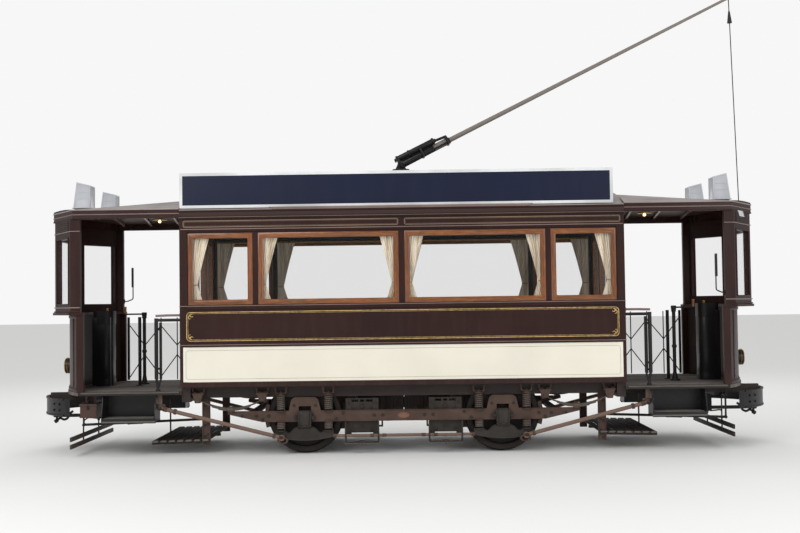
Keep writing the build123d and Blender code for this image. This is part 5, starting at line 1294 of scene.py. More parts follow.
def brake_columns():
    """Hand brake columns: a flared foot, a plain shaft, and a crank that lies along the car."""
    parts, knobs = [], []
    for sign in SIDES:
        x, y = sign * 3.266, -sign * 0.284
        top = 1.63
        foot = round_bar((x, y, 0.75), (x, y, 0.775), 0.062, 28)
        parts.append(ease(foot, 0.006, 3))
        parts.append(round_bar((x, y, 0.774), (x, y, 0.860), 0.036, 24, 0.022))
        parts.append(round_bar((x, y, 0.855), (x, y, top), 0.021, 20))
        for z in (1.15, top - 0.05):
            parts.append(ease(round_bar((x, y, z), (x, y, z + 0.035), 0.029, 24), 0.006, 3))
        parts.append(ease(round_bar((x, y, top - 0.018), (x, y, top + 0.026), 0.032, 24), 0.006, 3))
        arm = block((x - sign * 0.02, y - 0.011, top - 0.006), (x + sign * 0.255, y + 0.011, top + 0.014))
        parts.append(ease(arm, 0.005, 3))
        grip_x = x + sign * 0.240
        grip = round_bar((grip_x, y, top + 0.006), (grip_x, y, top + 0.100), 0.013, 20, 0.017)
        knobs.append(ease(grip, 0.006, 3))
    fitted(parts, "brake_cranks", "dark_iron", replaces=["brake_columns"])
    fitted(knobs, "brake_grips", "varnished_wood")


# Roof


def end_boxes():
    """Four upright sheet boxes with a pale rim and pressed ribs."""
    low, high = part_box("roof_end_boxes")
    parts = []
    for way in SIDES:
        y = way * 0.560
        box = block((3.672, y - 0.103, low.z + 0.004), (3.874, y + 0.103, high.z))
        for point in box.data.vertices:
            if point.co.z > low.z + 0.1:
                outer = point.co.x > 3.8
                point.co.x = 3.834 if outer else 3.672
                point.co.z = high.z - 0.002 if outer else high.z - 0.042
        pick(box, lambda face: abs(face.normal.x) > 0.8 or abs(face.normal.y) > 0.8)
        bpy.ops.mesh.inset(thickness=0.014, use_individual=True)
        bpy.ops.mesh.inset(thickness=0.004, depth=-0.006, use_individual=True)
        done()
        parts.append(ease(box, 0.0015, 1, 50))
        for z in (3.010, 3.085):
            for face_y in (y - 0.0975, y + 0.0975):
                parts.append(round_bar((3.695, face_y, z), (3.830, face_y, z), 0.0028, 8))
        flange = block((3.660, y - 0.115, low.z + 0.002), (3.886, y + 0.115, low.z + 0.010))
        parts.append(ease(flange, 0.002, 1))
    fitted(both(parts, 0), "sheet_boxes", "light_grey_paint", replaces=["roof_end_boxes"], angle=40)


def sign_frames():
    """A raised pale border round each navy board, and its joints."""
    low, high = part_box("signboards")
    frames, joints = [], []
    for way in SIDES:
        x_low, x_high = (-2.553, 2.439) if way < 0 else (-2.439, 2.553)
        face_y = high.y
        board = block((x_low, way * face_y, low.z), (x_high, way * (face_y + 0.004), high.z))
        pick(board, lambda face: face.normal.y * way > 0.9)
        bpy.ops.mesh.inset(thickness=0.034)
        bpy.ops.mesh.delete(type="FACE")
        done()
        pick(board, lambda face: face.normal.y * way < -0.9)
        bpy.ops.mesh.inset(thickness=0.034)
        bpy.ops.mesh.delete(type="FACE")
        bpy.ops.mesh.select_mode(type="EDGE")
        bpy.ops.mesh.select_non_manifold()
        bpy.ops.mesh.bridge_edge_loops()
        done()
        frames.append(ease(board, 0.001, 1, 50))
        for x in (x_low + 1.25, x_low + 2.5, x_low + 3.75):
            corner = (x - 0.0015, way * face_y, low.z + 0.035)
            joints.append(block(corner, (x + 0.0015, way * (face_y + 0.001), high.z - 0.035)))
    battens = []
    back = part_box("board_brackets")[1].y
    for x in (-2.40, -1.725, -0.575, 0.575, 1.725, 2.40):
        for way in SIDES:
            corner = (x - 0.020, way * (back - 0.018), low.z + 0.022)
            batten = block(corner, (x + 0.020, way * back, high.z - 0.008))
            battens.append(ease(batten, 0.002, 1))
            for z in (low.z + 0.08, high.z - 0.06):
                battens.append(bolt((x, way * (back - 0.018), z), (0, -way, 0), 0.008, 0.007))
    fitted(battens, "sign_battens", "light_grey_paint", finish="edge_canvas")
    fitted(frames, "sign_borders", "light_grey_paint", finish="white_paint")
    fitted(joints, "sign_joints", "navy_paint", finish="joint_line")


pole_slope = radians(26.3)
pole_run = Vector((cos(pole_slope), 0, sin(pole_slope)))
pole_up = Vector((-sin(pole_slope), 0, cos(pole_slope)))
pivot = Vector((0, 0, 3.440))


def on_pole(along, side, up):
    """A place measured from the pole's pivot, along the pole, across it and above it."""
    return pivot + pole_run * along + Vector((0, side, 0)) + pole_up * up


def along_pole(low, high, side, up, radius, sides, tip=None):
    """A round bar beside the pole, between two distances from its pivot."""
    return round_bar(on_pole(low, side, up), on_pole(high, side, up), radius, sides, tip)


def trolley_springs():
    """Spring barrels over the pole's socket, with their rods, collars, nuts and clamps."""
    parts, barrel_up = [], 0.078
    for side in (-0.052, 0.052):
        parts.append(ease(along_pole(-0.02, 0.50, side, barrel_up, 0.034, 24), 0.004))
        parts.append(round_bar(on_pole(0.49, side, barrel_up), on_pole(0.66, side, 0.062), 0.010, 12))
        parts.append(along_pole(-0.03, 0.64, side * 1.3, -0.020, 0.012, 12))
        for low in (-0.02, 0.14, 0.47):
            parts.append(ease(along_pole(low, low + 0.024, side, barrel_up, 0.041, 24), 0.004))
        for low in (-0.045, 0.50):
            parts.append(ease(along_pole(low, low + 0.020, side, barrel_up, 0.019, 6), 0.002))
    for along in (0.0, 0.30, 0.645):
        clamp = block((-0.016, -0.100, -0.048), (0.016, 0.100, 0.060 if along > 0.5 else 0.072))
        turn = Matrix((pole_run, Vector((0, 1, 0)), pole_up)).transposed().to_4x4()
        clamp.data.transform(Matrix.Translation(pivot + pole_run * along) @ turn)
        parts.append(ease(clamp, 0.010, 3))
    parts.append(ease(along_pole(-0.02, 0.64, 0, 0, 0.050, 28, 0.042), 0.004, 2))
    parts.append(ease(along_pole(0.64, 0.68, 0, 0, 0.042, 24), 0.005, 2))
    fitted(parts, "trolley_springs", "black_paint", body="trolley_pole")


def trolley_stand():
    """The cone that carries the trolley's base, with its flange, ribs and bolts."""
    top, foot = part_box("trolley_base")[0].z, pivot.z - 0.333
    cone = round_bar((0, 0, foot + 0.001), (0, 0, top - 0.001), 0.1915, 48, 0.0815)
    flange = round_bar((0, 0, foot - 0.001), (0, 0, foot + 0.014), 0.206, 48)
    stand = [cone, ease(flange, 0.004, 2)]
    stand.append(ease(round_bar((0, 0, top - 0.030), (0, 0, top - 0.001), 0.098, 40), 0.005, 2))
    for number in range(6):
        angle = 2 * pi * (number + 0.5) / 6
        stand.append(bolt((0.198 * cos(angle), 0.198 * sin(angle), foot + 0.012), (0, 0, 1), 0.010, 0.012))
        rib = block((0.085, -0.004, foot + 0.005), (0.190, 0.004, foot + 0.150))
        for point in rib.data.vertices:
            if point.co.z > foot + 0.1:
                point.co.x = 0.130 if point.co.x > 0.1 else 0.085
        rib.data.transform(Matrix.Rotation(2 * pi * number / 6, 4, "Z"))
        stand.append(ease(rib, 0.0015, 1))
    fitted(stand, "trolley_stand", "dark_iron")


def trolley_rope():
    """The taut rope from the pole's end to the canopy's edge, with its weight and tie."""
    top, low = on_pole(4.56, 0, -0.022), Vector((4.166, 0, 2.900))
    rope = round_bar(low, top, 0.006, 10)
    cone_top, cone_low = top.lerp(low, 0.055), top.lerp(low, 0.115)
    cone = round_bar(cone_low, cone_top, 0.030, 18, 0.010)
    tie = ring(on_pole(4.56, 0, 0), pole_run, 0.024, 0.005, 20, 8)
    parts = [rope, ease(cone, 0.004), tie]
    piece = fitted(parts, "trolley_rope", "dark_iron", body="trolley_pole", finish="rope_hemp")
    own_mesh(piece)


# Roof edges, canopies and end screens

canopy_y = 1.004
saloon_ceiling = max(
    vertex.co.z
    for vertex in frame["nodes"]["saloon_roof"].data.vertices
    if vertex.normal.z < -0.5
)
bend_x, nose_x = 3.779, 4.177
corner_x, screen_x = 3.809, 4.163


def at_end(line, sign):
    """A plan line of the right end, or its image at the left, its outer side on the right."""
    return line if sign > 0 else [(-x, y) for x, y in reversed(line)]


def end_line(sign):
    """The plan line round one canopy."""
    near = [(half_saloon, -canopy_y), (bend_x, -canopy_y), (nose_x, -nose_y)]
    return at_end([*near, *[(x, -y) for x, y in reversed(near)]], sign)


def side_line(way, reach, y):
    """The plan line along one side of the car, its outer side on the right."""
    return [(way * reach, way * y), (-way * reach, way * y)]


def roof_edges():
    """Beads on the canopies' fascias and the cornice, and the canvas edge strip above them. The pale fascia
    beads and the drip strips are painted highlights.
    """
    painted, pale, canvas, drips = [], [], [], []
    for sign in SIDES:
        pale.append(moulding(end_line(sign), 0.007, 2.786, 2.797))
        painted.append(moulding(end_line(sign), 0.006, 2.740, 2.756))
        canvas.append(moulding(end_line(sign), 0.009, 2.838, 2.852, 0.3))
    for way in SIDES:
        for parts, y, depth, low, high, soft in (
            (painted, 0.996, 0.010, 2.726, 2.740, 0.4),
            (pale, 0.996, 0.0155, 2.741, 2.7465, 0.3),
            (painted, 1.012, 0.008, 2.806, 2.8205, 0.4),
            (canvas, 0.990, 0.018, 2.8225, 2.836, 0.3),
        ):
            parts.append(moulding(side_line(way, half_saloon, y), depth, low, high, soft))
        drip = block((-1.52, way * 1.000, 2.823), (1.52, way * 1.019, 2.852))
        for point in drip.data.vertices:
            if point.co.z < 2.83:
                point.co.x += -0.06 if point.co.x > 0 else 0.06
        drips.append(ease(drip, 0.003, 2))
    fitted(painted, "roof_mouldings", "brown_paint")
    fitted(pale, "fascia_beads", "brown_paint", finish="painted_highlight")
    fitted(canvas, "canvas_edges", "roof_paint", finish="edge_canvas")
    fitted(drips, "drip_strips", "brown_paint", finish="painted_highlight")


def ceiling_height(x, y):
    """Height of the canopy's ceiling over the platform."""
    reach = (abs(x) - half_saloon) / (nose_x - half_saloon)
    rise = 0.172 * (1 - reach) + 0.018 * reach + 0.02 * (1 - abs(2 * reach - 1))
    return 2.820 + rise * (1 - (y / 0.972) ** 2)


def ceiling_lamp(x, ceiling, bulb_z):
    """A brass rose, a stem and a spun bowl with a lit bulb under it."""
    bowl_z = bulb_z + 0.030
    parts = [
        ease(round_bar((x, 0, ceiling - 0.014), (x, 0, ceiling + 0.004), 0.062, 32, 0.050), 0.004, 2),
        round_bar((x, 0, bowl_z), (x, 0, ceiling), 0.014, 16),
        ease(round_bar((x, 0, bowl_z - 0.008), (x, 0, bowl_z + 0.050), 0.088, 40, 0.030), 0.004, 2),
        ring((x, 0, bowl_z - 0.007), (0, 0, 1), 0.087, 0.005, 40, 8),
    ]
    bpy.ops.object.select_all(action="DESELECT")
    bpy.ops.mesh.primitive_uv_sphere_add(
        segments=24, ring_count=14, radius=0.020, location=(x, 0, bulb_z + 0.004)
    )
    bulb = settle()
    for point in bulb.data.vertices:
        if point.co.z > bulb_z + 0.004:
            point.co.x = x + (point.co.x - x) * 0.8
            point.co.y *= 0.8
    return parts, bulb


def canopy_ribs():
    """Bent ribs across the platform ceilings, and a lit lamp on each. The ribs' pale finish is a painted
    highlight.
    """
    ribs, brass_parts, bulbs = [], [], []
    for sign in SIDES:
        for x in (2.60, 2.96, 3.325, 3.69):
            rib = block((-0.016, -0.955, -0.030), (0.016, 0.955, 0.0))
            sliced(rib, [-0.955 + 1.91 * step / 24 for step in range(1, 24)], 1)
            for point in rib.data.vertices:
                point.co.z += ceiling_height(x, point.co.y) - 0.004
                point.co.x += sign * x
            ribs.append(ease(rib, 0.006, 2, 60))
        lamp_parts, bulb = ceiling_lamp(sign * 3.0, ceiling_height(3.0, 0), 2.776)
        brass_parts += lamp_parts
        bulbs.append(bulb)
    fitted(ribs, "canopy_ribs", "brown_paint", finish="painted_highlight")
    for x in (-1.65, 0.0, 1.65):
        ceiling = saloon_ceiling - 0.004
        lamp_parts, bulb = ceiling_lamp(x, ceiling, ceiling - 0.110)
        brass_parts += lamp_parts
        bulbs.append(bulb)
    fitted(brass_parts, "lamp_bowls", "brass")
    fitted(bulbs, "lamp_bulbs", "lamp_glass", finish="lit_bulb")


def screen_sides(sign):
    """The three faces of one end screen: start, end and the way out, seen from above."""
    for first, last in (
        ((corner_x, -side_y), (screen_x, -nose_y)),
        ((screen_x, -nose_y), (screen_x, nose_y)),
        ((screen_x, nose_y), (corner_x, side_y)),
    ):
        a = Vector((sign * first[0], first[1]))
        b = Vector((sign * last[0], last[1]))
        yield (a, b) if sign > 0 else (b, a)


def screen_trim():
    """Louvred heads, glazing beads and belt mouldings on the end screens. The pale beads are painted
    highlights.
    """
    painted, pale = [], []
    for sign in SIDES:
        near = [(3.697, -side_y), (corner_x, -side_y), (screen_x, -nose_y)]
        outer = at_end([*near, *[(x, -y) for x, y in reversed(near)]], sign)
        pale.append(moulding(outer, 0.012, 1.717, 1.731))
        painted.append(moulding(outer, 0.016, 1.667, 1.684))
        pale.append(moulding(outer, 0.010, 2.5965, 2.608))
        for a, b in screen_sides(sign):
            along = (b - a).normalized()
            low, high = a + along * 0.076, b - along * 0.076
            for slat in range(5):
                z = 2.618 + slat * 0.0235
                painted.append(moulding([tuple(low), tuple(high)], 0.008, z, z + 0.013, 0.45))
            for z in (1.757, 2.525):
                painted.append(moulding([tuple(low), tuple(high)], 0.007, z, z + 0.012, 0.45))
            for spot in (low - along * 0.004, high - along * 0.008):
                run = [tuple(spot), tuple(spot + along * 0.012)]
                painted.append(moulding(run, 0.007, 1.757, 2.537, 0.45))
    fitted(painted, "screen_mouldings", "brown_paint")
    fitted(pale, "screen_beads", "brown_paint", finish="painted_highlight")


def arc_line(centre, radius, half_angle, steps, sign):
    """A plan arc round one end."""
    line = []
    for step in range(steps + 1):
        angle = radians(-half_angle + 2 * half_angle * step / steps)
        line.append((centre + radius * cos(angle), radius * sin(angle)))
    return at_end(line, sign)


def lamp_disc(sign, back, front, radius, sides, tip=None):
    """A round part of a headlamp, between two depths behind its front."""
    ends = [(sign * (headlamp_x - depth), 0, headlamp_z) for depth in (back, front)]
    return round_bar(*ends, radius, sides, tip)


def dash_trim():
    """Base and top rails round the dashes, upright cover strips, and the lamps' rims."""
    parts, rims, glass, reflectors, bulbs = [], [], [], [], []
    for sign in SIDES:
        for z_low, z_high, depth in ((0.752, 0.792, 0.012), (1.600, 1.632, 0.010), (0.800, 0.808, 0.005)):
            plan = arc_line(dash_centre, dash_radius + 0.0005, 35.5, 24, sign)
            parts.append(moulding(plan, depth, z_low, z_high, 0.35))
        for degrees in (-30, -10.5, 10.5, 30):
            angle = radians(degrees)
            spot = Vector((sign * (dash_centre + dash_radius * cos(angle)), dash_radius * sin(angle)))
            half = Vector((-sin(angle) * sign, cos(angle))) * sign * 0.016
            parts.append(moulding([tuple(spot - half), tuple(spot + half)], 0.006, 0.808, 1.600, 0.45))
            for number in range(10):
                out = Vector((cos(angle) * sign, sin(angle), 0))
                place = Vector((spot.x, spot.y, 0.84 + number * 0.081)) + out * 0.005
                parts.append(rivet(place, out, 0.0055, 0.004))
        front = sign * headlamp_x
        rims.append(ring((front - sign * 0.004, 0, headlamp_z), (1, 0, 0), 0.0865, 0.0075, 56, 12))
        rims.append(ring((front - sign * 0.034, 0, headlamp_z), (1, 0, 0), 0.091, 0.005, 56, 10))
        hinge = block((front - sign * 0.030, -0.012, 1.096), (front - sign * 0.004, 0.012, 1.112))
        rims.append(ease(hinge, 0.003, 2))
        glass.append(ease(lamp_disc(sign, 0.0065, 0.002, 0.079, 48, 0.062), 0.001, 2))
        bowl = lamp_disc(sign, 0.0145, 0.0138, 0.078, 48)
        pick(bowl, lambda face: face.normal.x * sign > 0.9)
        bpy.ops.mesh.inset(thickness=0.012)
        bpy.ops.mesh.inset(thickness=0.020, depth=-0.0004)
        done()
        reflectors.append(bowl)
        bulbs.append(ease(lamp_disc(sign, 0.0138, 0.0085, 0.016, 28, 0.009), 0.002, 2))
    fitted(parts, "dash_strips", "brown_paint")
    fitted(rims, "headlamp_rims", "brass")
    fitted(reflectors, "headlamp_reflectors", "rail_steel", finish="mirror_glass")
    fitted(bulbs, "headlamp_bulbs", "lamp_glass", finish="frosted_bulb")
    fitted(glass, "headlamp_glasses", "lamp_glass", replaces=["headlamp_lenses"])


def bumper_trim():
    """Rolled edges and bolts on the bumpers, coupling hooks and pins under them."""
    edges, black = [], []
    for sign in SIDES:
        for low, high in ((0.640, 0.660), (0.451, 0.471)):
            plan = arc_line(bumper_centre, bumper_radius, 58, 14, sign)
            edges.append(moulding(plan, 0.009, low, high, 0.3))
        for degrees in (-52, -44, 44, 52):
            angle = radians(degrees)
            out = Vector((sign * cos(angle), sin(angle), 0))
            for z in (0.520, 0.592):
                x = sign * (bumper_centre + bumper_radius * cos(angle))
                edges.append(bolt((x, bumper_radius * sin(angle), z), out, 0.012, 0.012))
        path = [(4.085, 0, 0.452), (4.130, 0, 0.420), (4.150, 0, 0.365), (4.195, 0, 0.345)]
        path += [(4.245, 0, 0.372), (4.285, 0, 0.338)]
        hook = bent_rod(rounded([(sign * x, y, z) for x, y, z in path], 0.018, 4), 0.0145)
        black.append(hook)
        black.append(ease(round_bar((sign * 4.272, 0, 0.346), (sign * 4.310, 0, 0.322), 0.024, 16), 0.008, 3))
        black.append(round_bar((sign * 4.285, 0, 0.362), (sign * 4.285, 0, 0.452), 0.014, 16))
        black.append(ring((sign * 4.285, 0, 0.468), (0, 1, 0), 0.020, 0.006, 24, 8))
    fitted(edges, "bumper_edges", "black_paint", finish="bumper_paint")
    fitted(black, "coupling_hooks", "black_paint", finish="dark_iron")


def brake_rods():
    """Hand brake rods with open turnbuckles, their levers, and the guards' hangers."""
    parts = []
    y = -0.5
    for sign in SIDES:
        lever_x = sign * 3.800
        outer, inner = Vector((lever_x, y, 0.334)), Vector((sign * 2.330, y, 0.386))
        run = (inner - outer).normalized()
        parts.append(round_bar(outer, outer + run * 0.535, 0.015, 14))
        parts.append(round_bar(outer + run * 0.685, inner, 0.015, 14))
        for start in (0.515, 0.670):
            nut = round_bar(outer + run * start, outer + run * (start + 0.035), 0.024, 6)
            parts.append(ease(nut, 0.003, 1))
        for rise in (-0.016, 0.016):
            lift = Vector((0, 0, rise))
            parts.append(round_bar(outer + run * 0.54 + lift, outer + run * 0.68 + lift, 0.006, 10))
        lever = block((lever_x - 0.011, y - 0.020, 0.318), (lever_x + 0.011, y - 0.008, 0.700))
        parts.append(ease(lever, 0.003, 2))
        for z, back, front, radius in ((0.334, 0.03, 0.02, 0.018), (0.60, 0.04, 0.04, 0.022)):
            pin = round_bar((lever_x, y - back, z), (lever_x, y + front, z), radius, 16)
            parts.append(ease(pin, 0.003))
        for way in SIDES:
            x, low = sign * gate_rods[sign][0], gate_rods[sign][1]
            rod_side = way * gate_rod_y
            parts.append(round_bar((x, rod_side, low), (x, rod_side, 0.420), 0.009, 12))
            parts.append(ease(round_bar((x, rod_side, 0.300), (x, rod_side, 0.324), 0.017, 6), 0.002))
            brace = [(sign * 3.66, way * 0.37, 0.395), (lever_x, way * 0.345, 0.405), (x, rod_side, 0.36)]
            parts.append(bent_rod(rounded(brace, 0.03, 3), 0.008, 10))
    fitted(parts, "brake_rods", "black_paint", finish="dark_iron")


def life_guards():
    """Gates of two boards across the car's ends, and slatted trays before the wheels. The slats' pale noses
    are painted sunlight, where the sun fell on the trays' ends.
    """
    wood, noses, iron = [], [], []
    tray_length, tray_half, slat_count = 0.683, 0.760, 7
    for sign, tip_z, heel_z in ((-1, 0.145, 0.158), (1, 0.185, 0.200)):
        rod_x, rod_z = gate_rods[sign]
        x, board_z = sign * (rod_x - 0.021), rod_z - 0.027
        for low in (board_z, board_z + 0.086):
            wood.append(ease(block((x - 0.011, -0.900, low), (x + 0.011, 0.900, low + 0.051)), 0.003, 2))
        tip = Vector((sign * 2.945, 0, tip_z))
        heel = Vector((sign * (2.945 - tray_length), 0, heel_z))
        turn = Matrix.Rotation(sign * atan2(heel_z - tip_z, tray_length), 4, "Y")
        for number in range(slat_count):
            spot = Matrix.Translation(tip.lerp(heel, (number + 0.5) / slat_count)) @ turn
            slat = ease(block((-0.038, -tray_half, 0.000), (0.038, tray_half, 0.016)), 0.003, 1)
            slat.data.transform(spot)
            wood.append(slat)
            for y in (-0.764, 0.716):
                nose = ease(block((-0.034, y, -0.002), (0.034, y + 0.048, 0.018)), 0.004, 2)
                nose.data.transform(spot)
                noses.append(nose)
        for y in (-0.714, -0.014, 0.686):
            bar = block((-tray_length / 2, y, -0.032), (tray_length / 2, y + 0.028, 0.001))
            bar = ease(bar, 0.003, 1)
            bar.data.transform(Matrix.Translation(tip.lerp(heel, 0.5)) @ turn)
            wood.append(bar)
        x = sign * guard_post_x
        for y in (-guard_post_y - 0.016, guard_post_y):
            iron.append(ease(block((x - 0.041, y, 0.102), (x + 0.041, y + 0.016, 0.760)), 0.002, 1))
        iron.append(round_bar((sign * 2.880, 0, tip_z - 0.010), (sign * 2.880, 0, 0.700), 0.010, 12))
        x = sign * rod_x
        for y in (-gate_rod_y, gate_rod_y):
            iron.append(round_bar((x, y, 0.400), (x, y, 0.640), 0.009, 12))
            for z in (board_z + 0.026, board_z + 0.112):
                iron.append(bolt((x - sign * 0.010, y + 0.030, z), (sign, 0, 0), 0.009, 0.008))
    fitted(wood, "guard_boards", "black_paint", finish="guard_wood", replaces=["life_guards"])
    # painted sunlight: pale slat noses where the sun fell on the trays' ends
    fitted(noses, "tray_slat_noses", "black_paint", finish="wear_and_sunlight")
    fitted(iron, "guard_irons", "black_paint", finish="truck_iron")


def guard_trim():
    """Bolts and angles on the guard posts."""
    bolts, edges = [], []
    for z in (0.135, 0.205, 0.330, 0.560):
        bolts.append(bolt((half_saloon - 0.232, -0.7065, z), (0, -1, 0), 0.011, 0.012))
        if z > 0.2:
            bolts.append(bolt((half_saloon - 0.262, -0.7065, z + 0.02), (0, -1, 0), 0.009, 0.010))
    for x in (half_saloon - 0.286, half_saloon - 0.204):
        edges.append(ease(block((x - 0.006, -0.716, 0.104), (x + 0.006, -0.690, 0.700)), 0.002, 1))
    fitted(both(both(bolts, 0), 1), "guard_bolts", "black_paint", finish="bolt_iron")
    fitted(both(both(edges, 0), 1), "guard_post_angles", "black_paint", finish="truck_iron")


def step_trim():
    """Dusty nosings, tread slats and hangers on the steps, and slats on the platforms."""
    noses, slats, straps, sills = [], [], [], []
    inner, outer, tread = half_saloon + 0.290, half_saloon + 0.909, 0.446
    nose = block((inner - 0.003, -side_y - 0.003, 0.404), (outer + 0.003, -side_y + 0.012, 0.448))
    straps.append(ease(nose, 0.006, 3))
    lip = block((inner - 0.004, -side_y - 0.007, 0.400), (outer + 0.004, -side_y + 0.014, 0.417))
    noses.append(ease(lip, 0.004, 2))
    for number in range(4):
        y = -side_y + 0.040 + number * 0.056
        slat = block((inner + 0.020, y - 0.019, tread - 0.001), (outer - 0.020, y + 0.019, tread + 0.005))
        noses.append(ease(slat, 0.002, 1))
    straps.append(ease(block((inner, -side_y + 0.030, 0.388), (outer, -side_y + 0.042, 0.407)), 0.002, 1))
    for x in (inner + 0.06, (inner + outer) / 2, outer - 0.06):
        straps.append(bolt((x, -side_y + 0.2645, 0.640), (0, -1, 0), 0.010, 0.010))
    path = [(inner - 0.010, -side_y + 0.03, 0.705), (inner + 0.004, -side_y + 0.03, 0.640)]
    path += [(inner - 0.014, -side_y + 0.03, 0.560), (inner - 0.075, -side_y + 0.03, 0.535)]
    straps.append(bent_strip(rounded(path, 0.03, 4), 0.036, 0.008))
    corner = (half_saloon + 0.010, -side_y - 0.004, floor_top - 0.022)
    edge = block(corner, (3.700, -side_y + 0.020, floor_top + 0.004))
    sills.append(ease(edge, 0.004, 2))
    for number in range(23):
        y = -0.88 + number * 0.08
        reach = dash_centre + sqrt(1.60**2 - y * y)
        corner = (half_saloon + 0.02, y - 0.026, floor_top - 0.001)
        slat = block(corner, (reach, y + 0.026, floor_top + 0.006))
        slats.append(ease(slat, 0.002, 1))
    fitted(both(both(noses, 0), 1), "tread_nosings", "floor_wood", finish="wear_and_sunlight")
    fitted(both(both(straps, 0), 1), "step_straps", "black_paint", finish="bumper_paint")
    fitted(both(slats, 0), "platform_slats", "floor_wood")
    fitted(both(both(sills, 0), 1), "platform_sills", "floor_wood")


def small_fittings():
    """Tool box lid, mirrors, short handrails and vents."""
    red, black, rails, pale, glass = [], [], [], [], []
    red.append(ease(block((-3.738, -0.908, 0.586), (-3.531, -0.704, 0.612)), 0.003, 2))
    black.append(ease(block((-3.650, -0.9105, 0.548), (-3.622, -0.902, 0.600)), 0.002, 1))
    black.append(rivet((-3.636, -0.9105, 0.560), (0, -1, 0), 0.007, 0.006))
    for x in (-3.700, -3.570):
        black.append(ease(block((x - 0.014, -0.706, 0.560), (x + 0.014, -0.698, 0.604)), 0.002, 1))
    red.append(ease(block((-3.735, -0.905, 0.456), (-3.534, -0.897, 0.470)), 0.002, 1))
    for turn in SIDES:
        x, y = turn * 3.587, -turn * 1.0
        black.append(ease(block((x - 0.009, y - 0.045, 1.985), (x + 0.009, y + 0.012, 2.245)), 0.004, 2))
        face_x, foot_x, foot_y = x + turn * 0.009, turn * 3.700, -turn * 0.972
        mirror = block((face_x - 0.001, y - 0.040, 1.992), (face_x + 0.001, y + 0.007, 2.238))
        glass.append(ease(mirror, 0.0005, 1))
        path = [(foot_x, -turn * 0.968, 1.800), (turn * 3.660, y, 1.800), (x, y, 1.830), (x, y, 1.990)]
        black.append(bent_rod(rounded(path, 0.02, 4), 0.0075, 12))
        foot = block((foot_x - 0.014, foot_y - 0.006, 1.772), (foot_x + 0.014, foot_y + 0.006, 1.828))
        black.append(ease(foot, 0.003, 2))
    for way in SIDES:
        for sign in SIDES:
            wall_x, y, z = sign * half_saloon, way * 0.952, 1.622
            rail = [(wall_x - sign * 0.002, y, z), (sign * 2.700, y, z), (sign * 2.838, y, 1.618)]
            rails.append(bent_rod(rail, 0.013, 14))
            rails.append(ease(round_bar((wall_x, y, z), (wall_x + sign * 0.008, y, z), 0.026, 20), 0.003))
    for turn in SIDES:
        start, end = Vector((turn * corner_x, -turn * side_y)), Vector((turn * screen_x, -turn * nose_y))
        along = (end - start).normalized()
        out = Vector((along.y, -along.x)) * turn
        vent = block((-0.095, -0.004, 2.684), (0.095, 0.012, 2.750))
        for point in vent.data.vertices:
            point.co.x -= 0.030 if point.co.z > 2.72 else -0.030
        frame_turn = Matrix(((along.x, out.x, 0), (along.y, out.y, 0), (0, 0, 1))).to_4x4()
        spot = start.lerp(end, 0.42)
        vent.data.transform(Matrix.Translation((spot.x, spot.y, 0)) @ frame_turn)
        if frame_turn.determinant() < 0:
            vent.data.flip_normals()
        pale.append(ease(vent, 0.004, 2))
    fitted(red, "tool_box_lid", "truck_iron", finish="oxide_paint")
    fitted(black, "mirror_arms", "dark_iron")
    fitted(glass, "mirror_faces", "rail_steel", finish="mirror_glass")
    # the handrails take the same pale painted-highlight finish
    fitted(rails, "entrance_handrails", "brass", finish="painted_highlight")
    fitted(pale, "screen_vents", "light_grey_paint", finish="white_paint")


def resistance_boxes():
    """Two ribbed boxes hung by straps under the middle of the floor."""
    parts = []
    for x_low, x_high in ((-0.300, -0.004), (0.004, 0.300)):
        parts.append(ease(block((x_low, -0.450, 0.455), (x_high, 0.450, 0.700)), 0.006, 2))
        for number in range(7):
            x = x_low + 0.030 + number * 0.038
            for way in SIDES:
                rib = block((x - 0.008, way * 0.450, 0.480), (x + 0.008, way * 0.456, 0.670))
                parts.append(ease(rib, 0.002, 1))
    for x in (-0.26, 0.26):
        for way in SIDES:
            strap = block((x - 0.020, way * 0.452, 0.492), (x + 0.020, way * 0.462, 0.716))
            parts.append(ease(strap, 0.002, 1))
    fitted(parts, "resistance_boxes", "dark_iron", finish="frame_iron")


def belt_beads():
    """Painted highlights: pale beads on the belt, waist and letterboard mouldings, where light catches their
    rounded edges.
    """
    parts = []
    belt_y, board_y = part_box("mouldings")[1].y - 0.004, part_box("letterboards")[1].y
    for way in SIDES:
        for reach, y, depth, low, high in (
            (half_saloon, belt_y, 0.007, 1.7175, 1.7275),
            (half_saloon, belt_y, 0.007, 1.2715, 1.2805),
            (2.54, board_y, 0.009, 2.600, 2.612),
        ):
            parts.append(moulding(side_line(way, reach, y), depth, low, high, 0.45))
    fitted(parts, "belt_beads", "brown_paint", finish="painted_highlight")


def wall_frame(sign, x, y_low, y_high, z_low, z_high, width, rise):
    """Four beads round a panel on a wall that stands across the car."""
    def bead(y_from, y_to, low, high):
        run = [(sign * x, y_from), (sign * x, y_to)]
        return moulding(run if sign > 0 else run[::-1], rise, low, high, 0.4)

    beads = [bead(y_low, y_high, low, low + width) for low in (z_low, z_high - width)]
    for y in (y_low, y_high - width):
        beads.append(bead(y, y + width, z_low + width, z_high - width))
    return beads


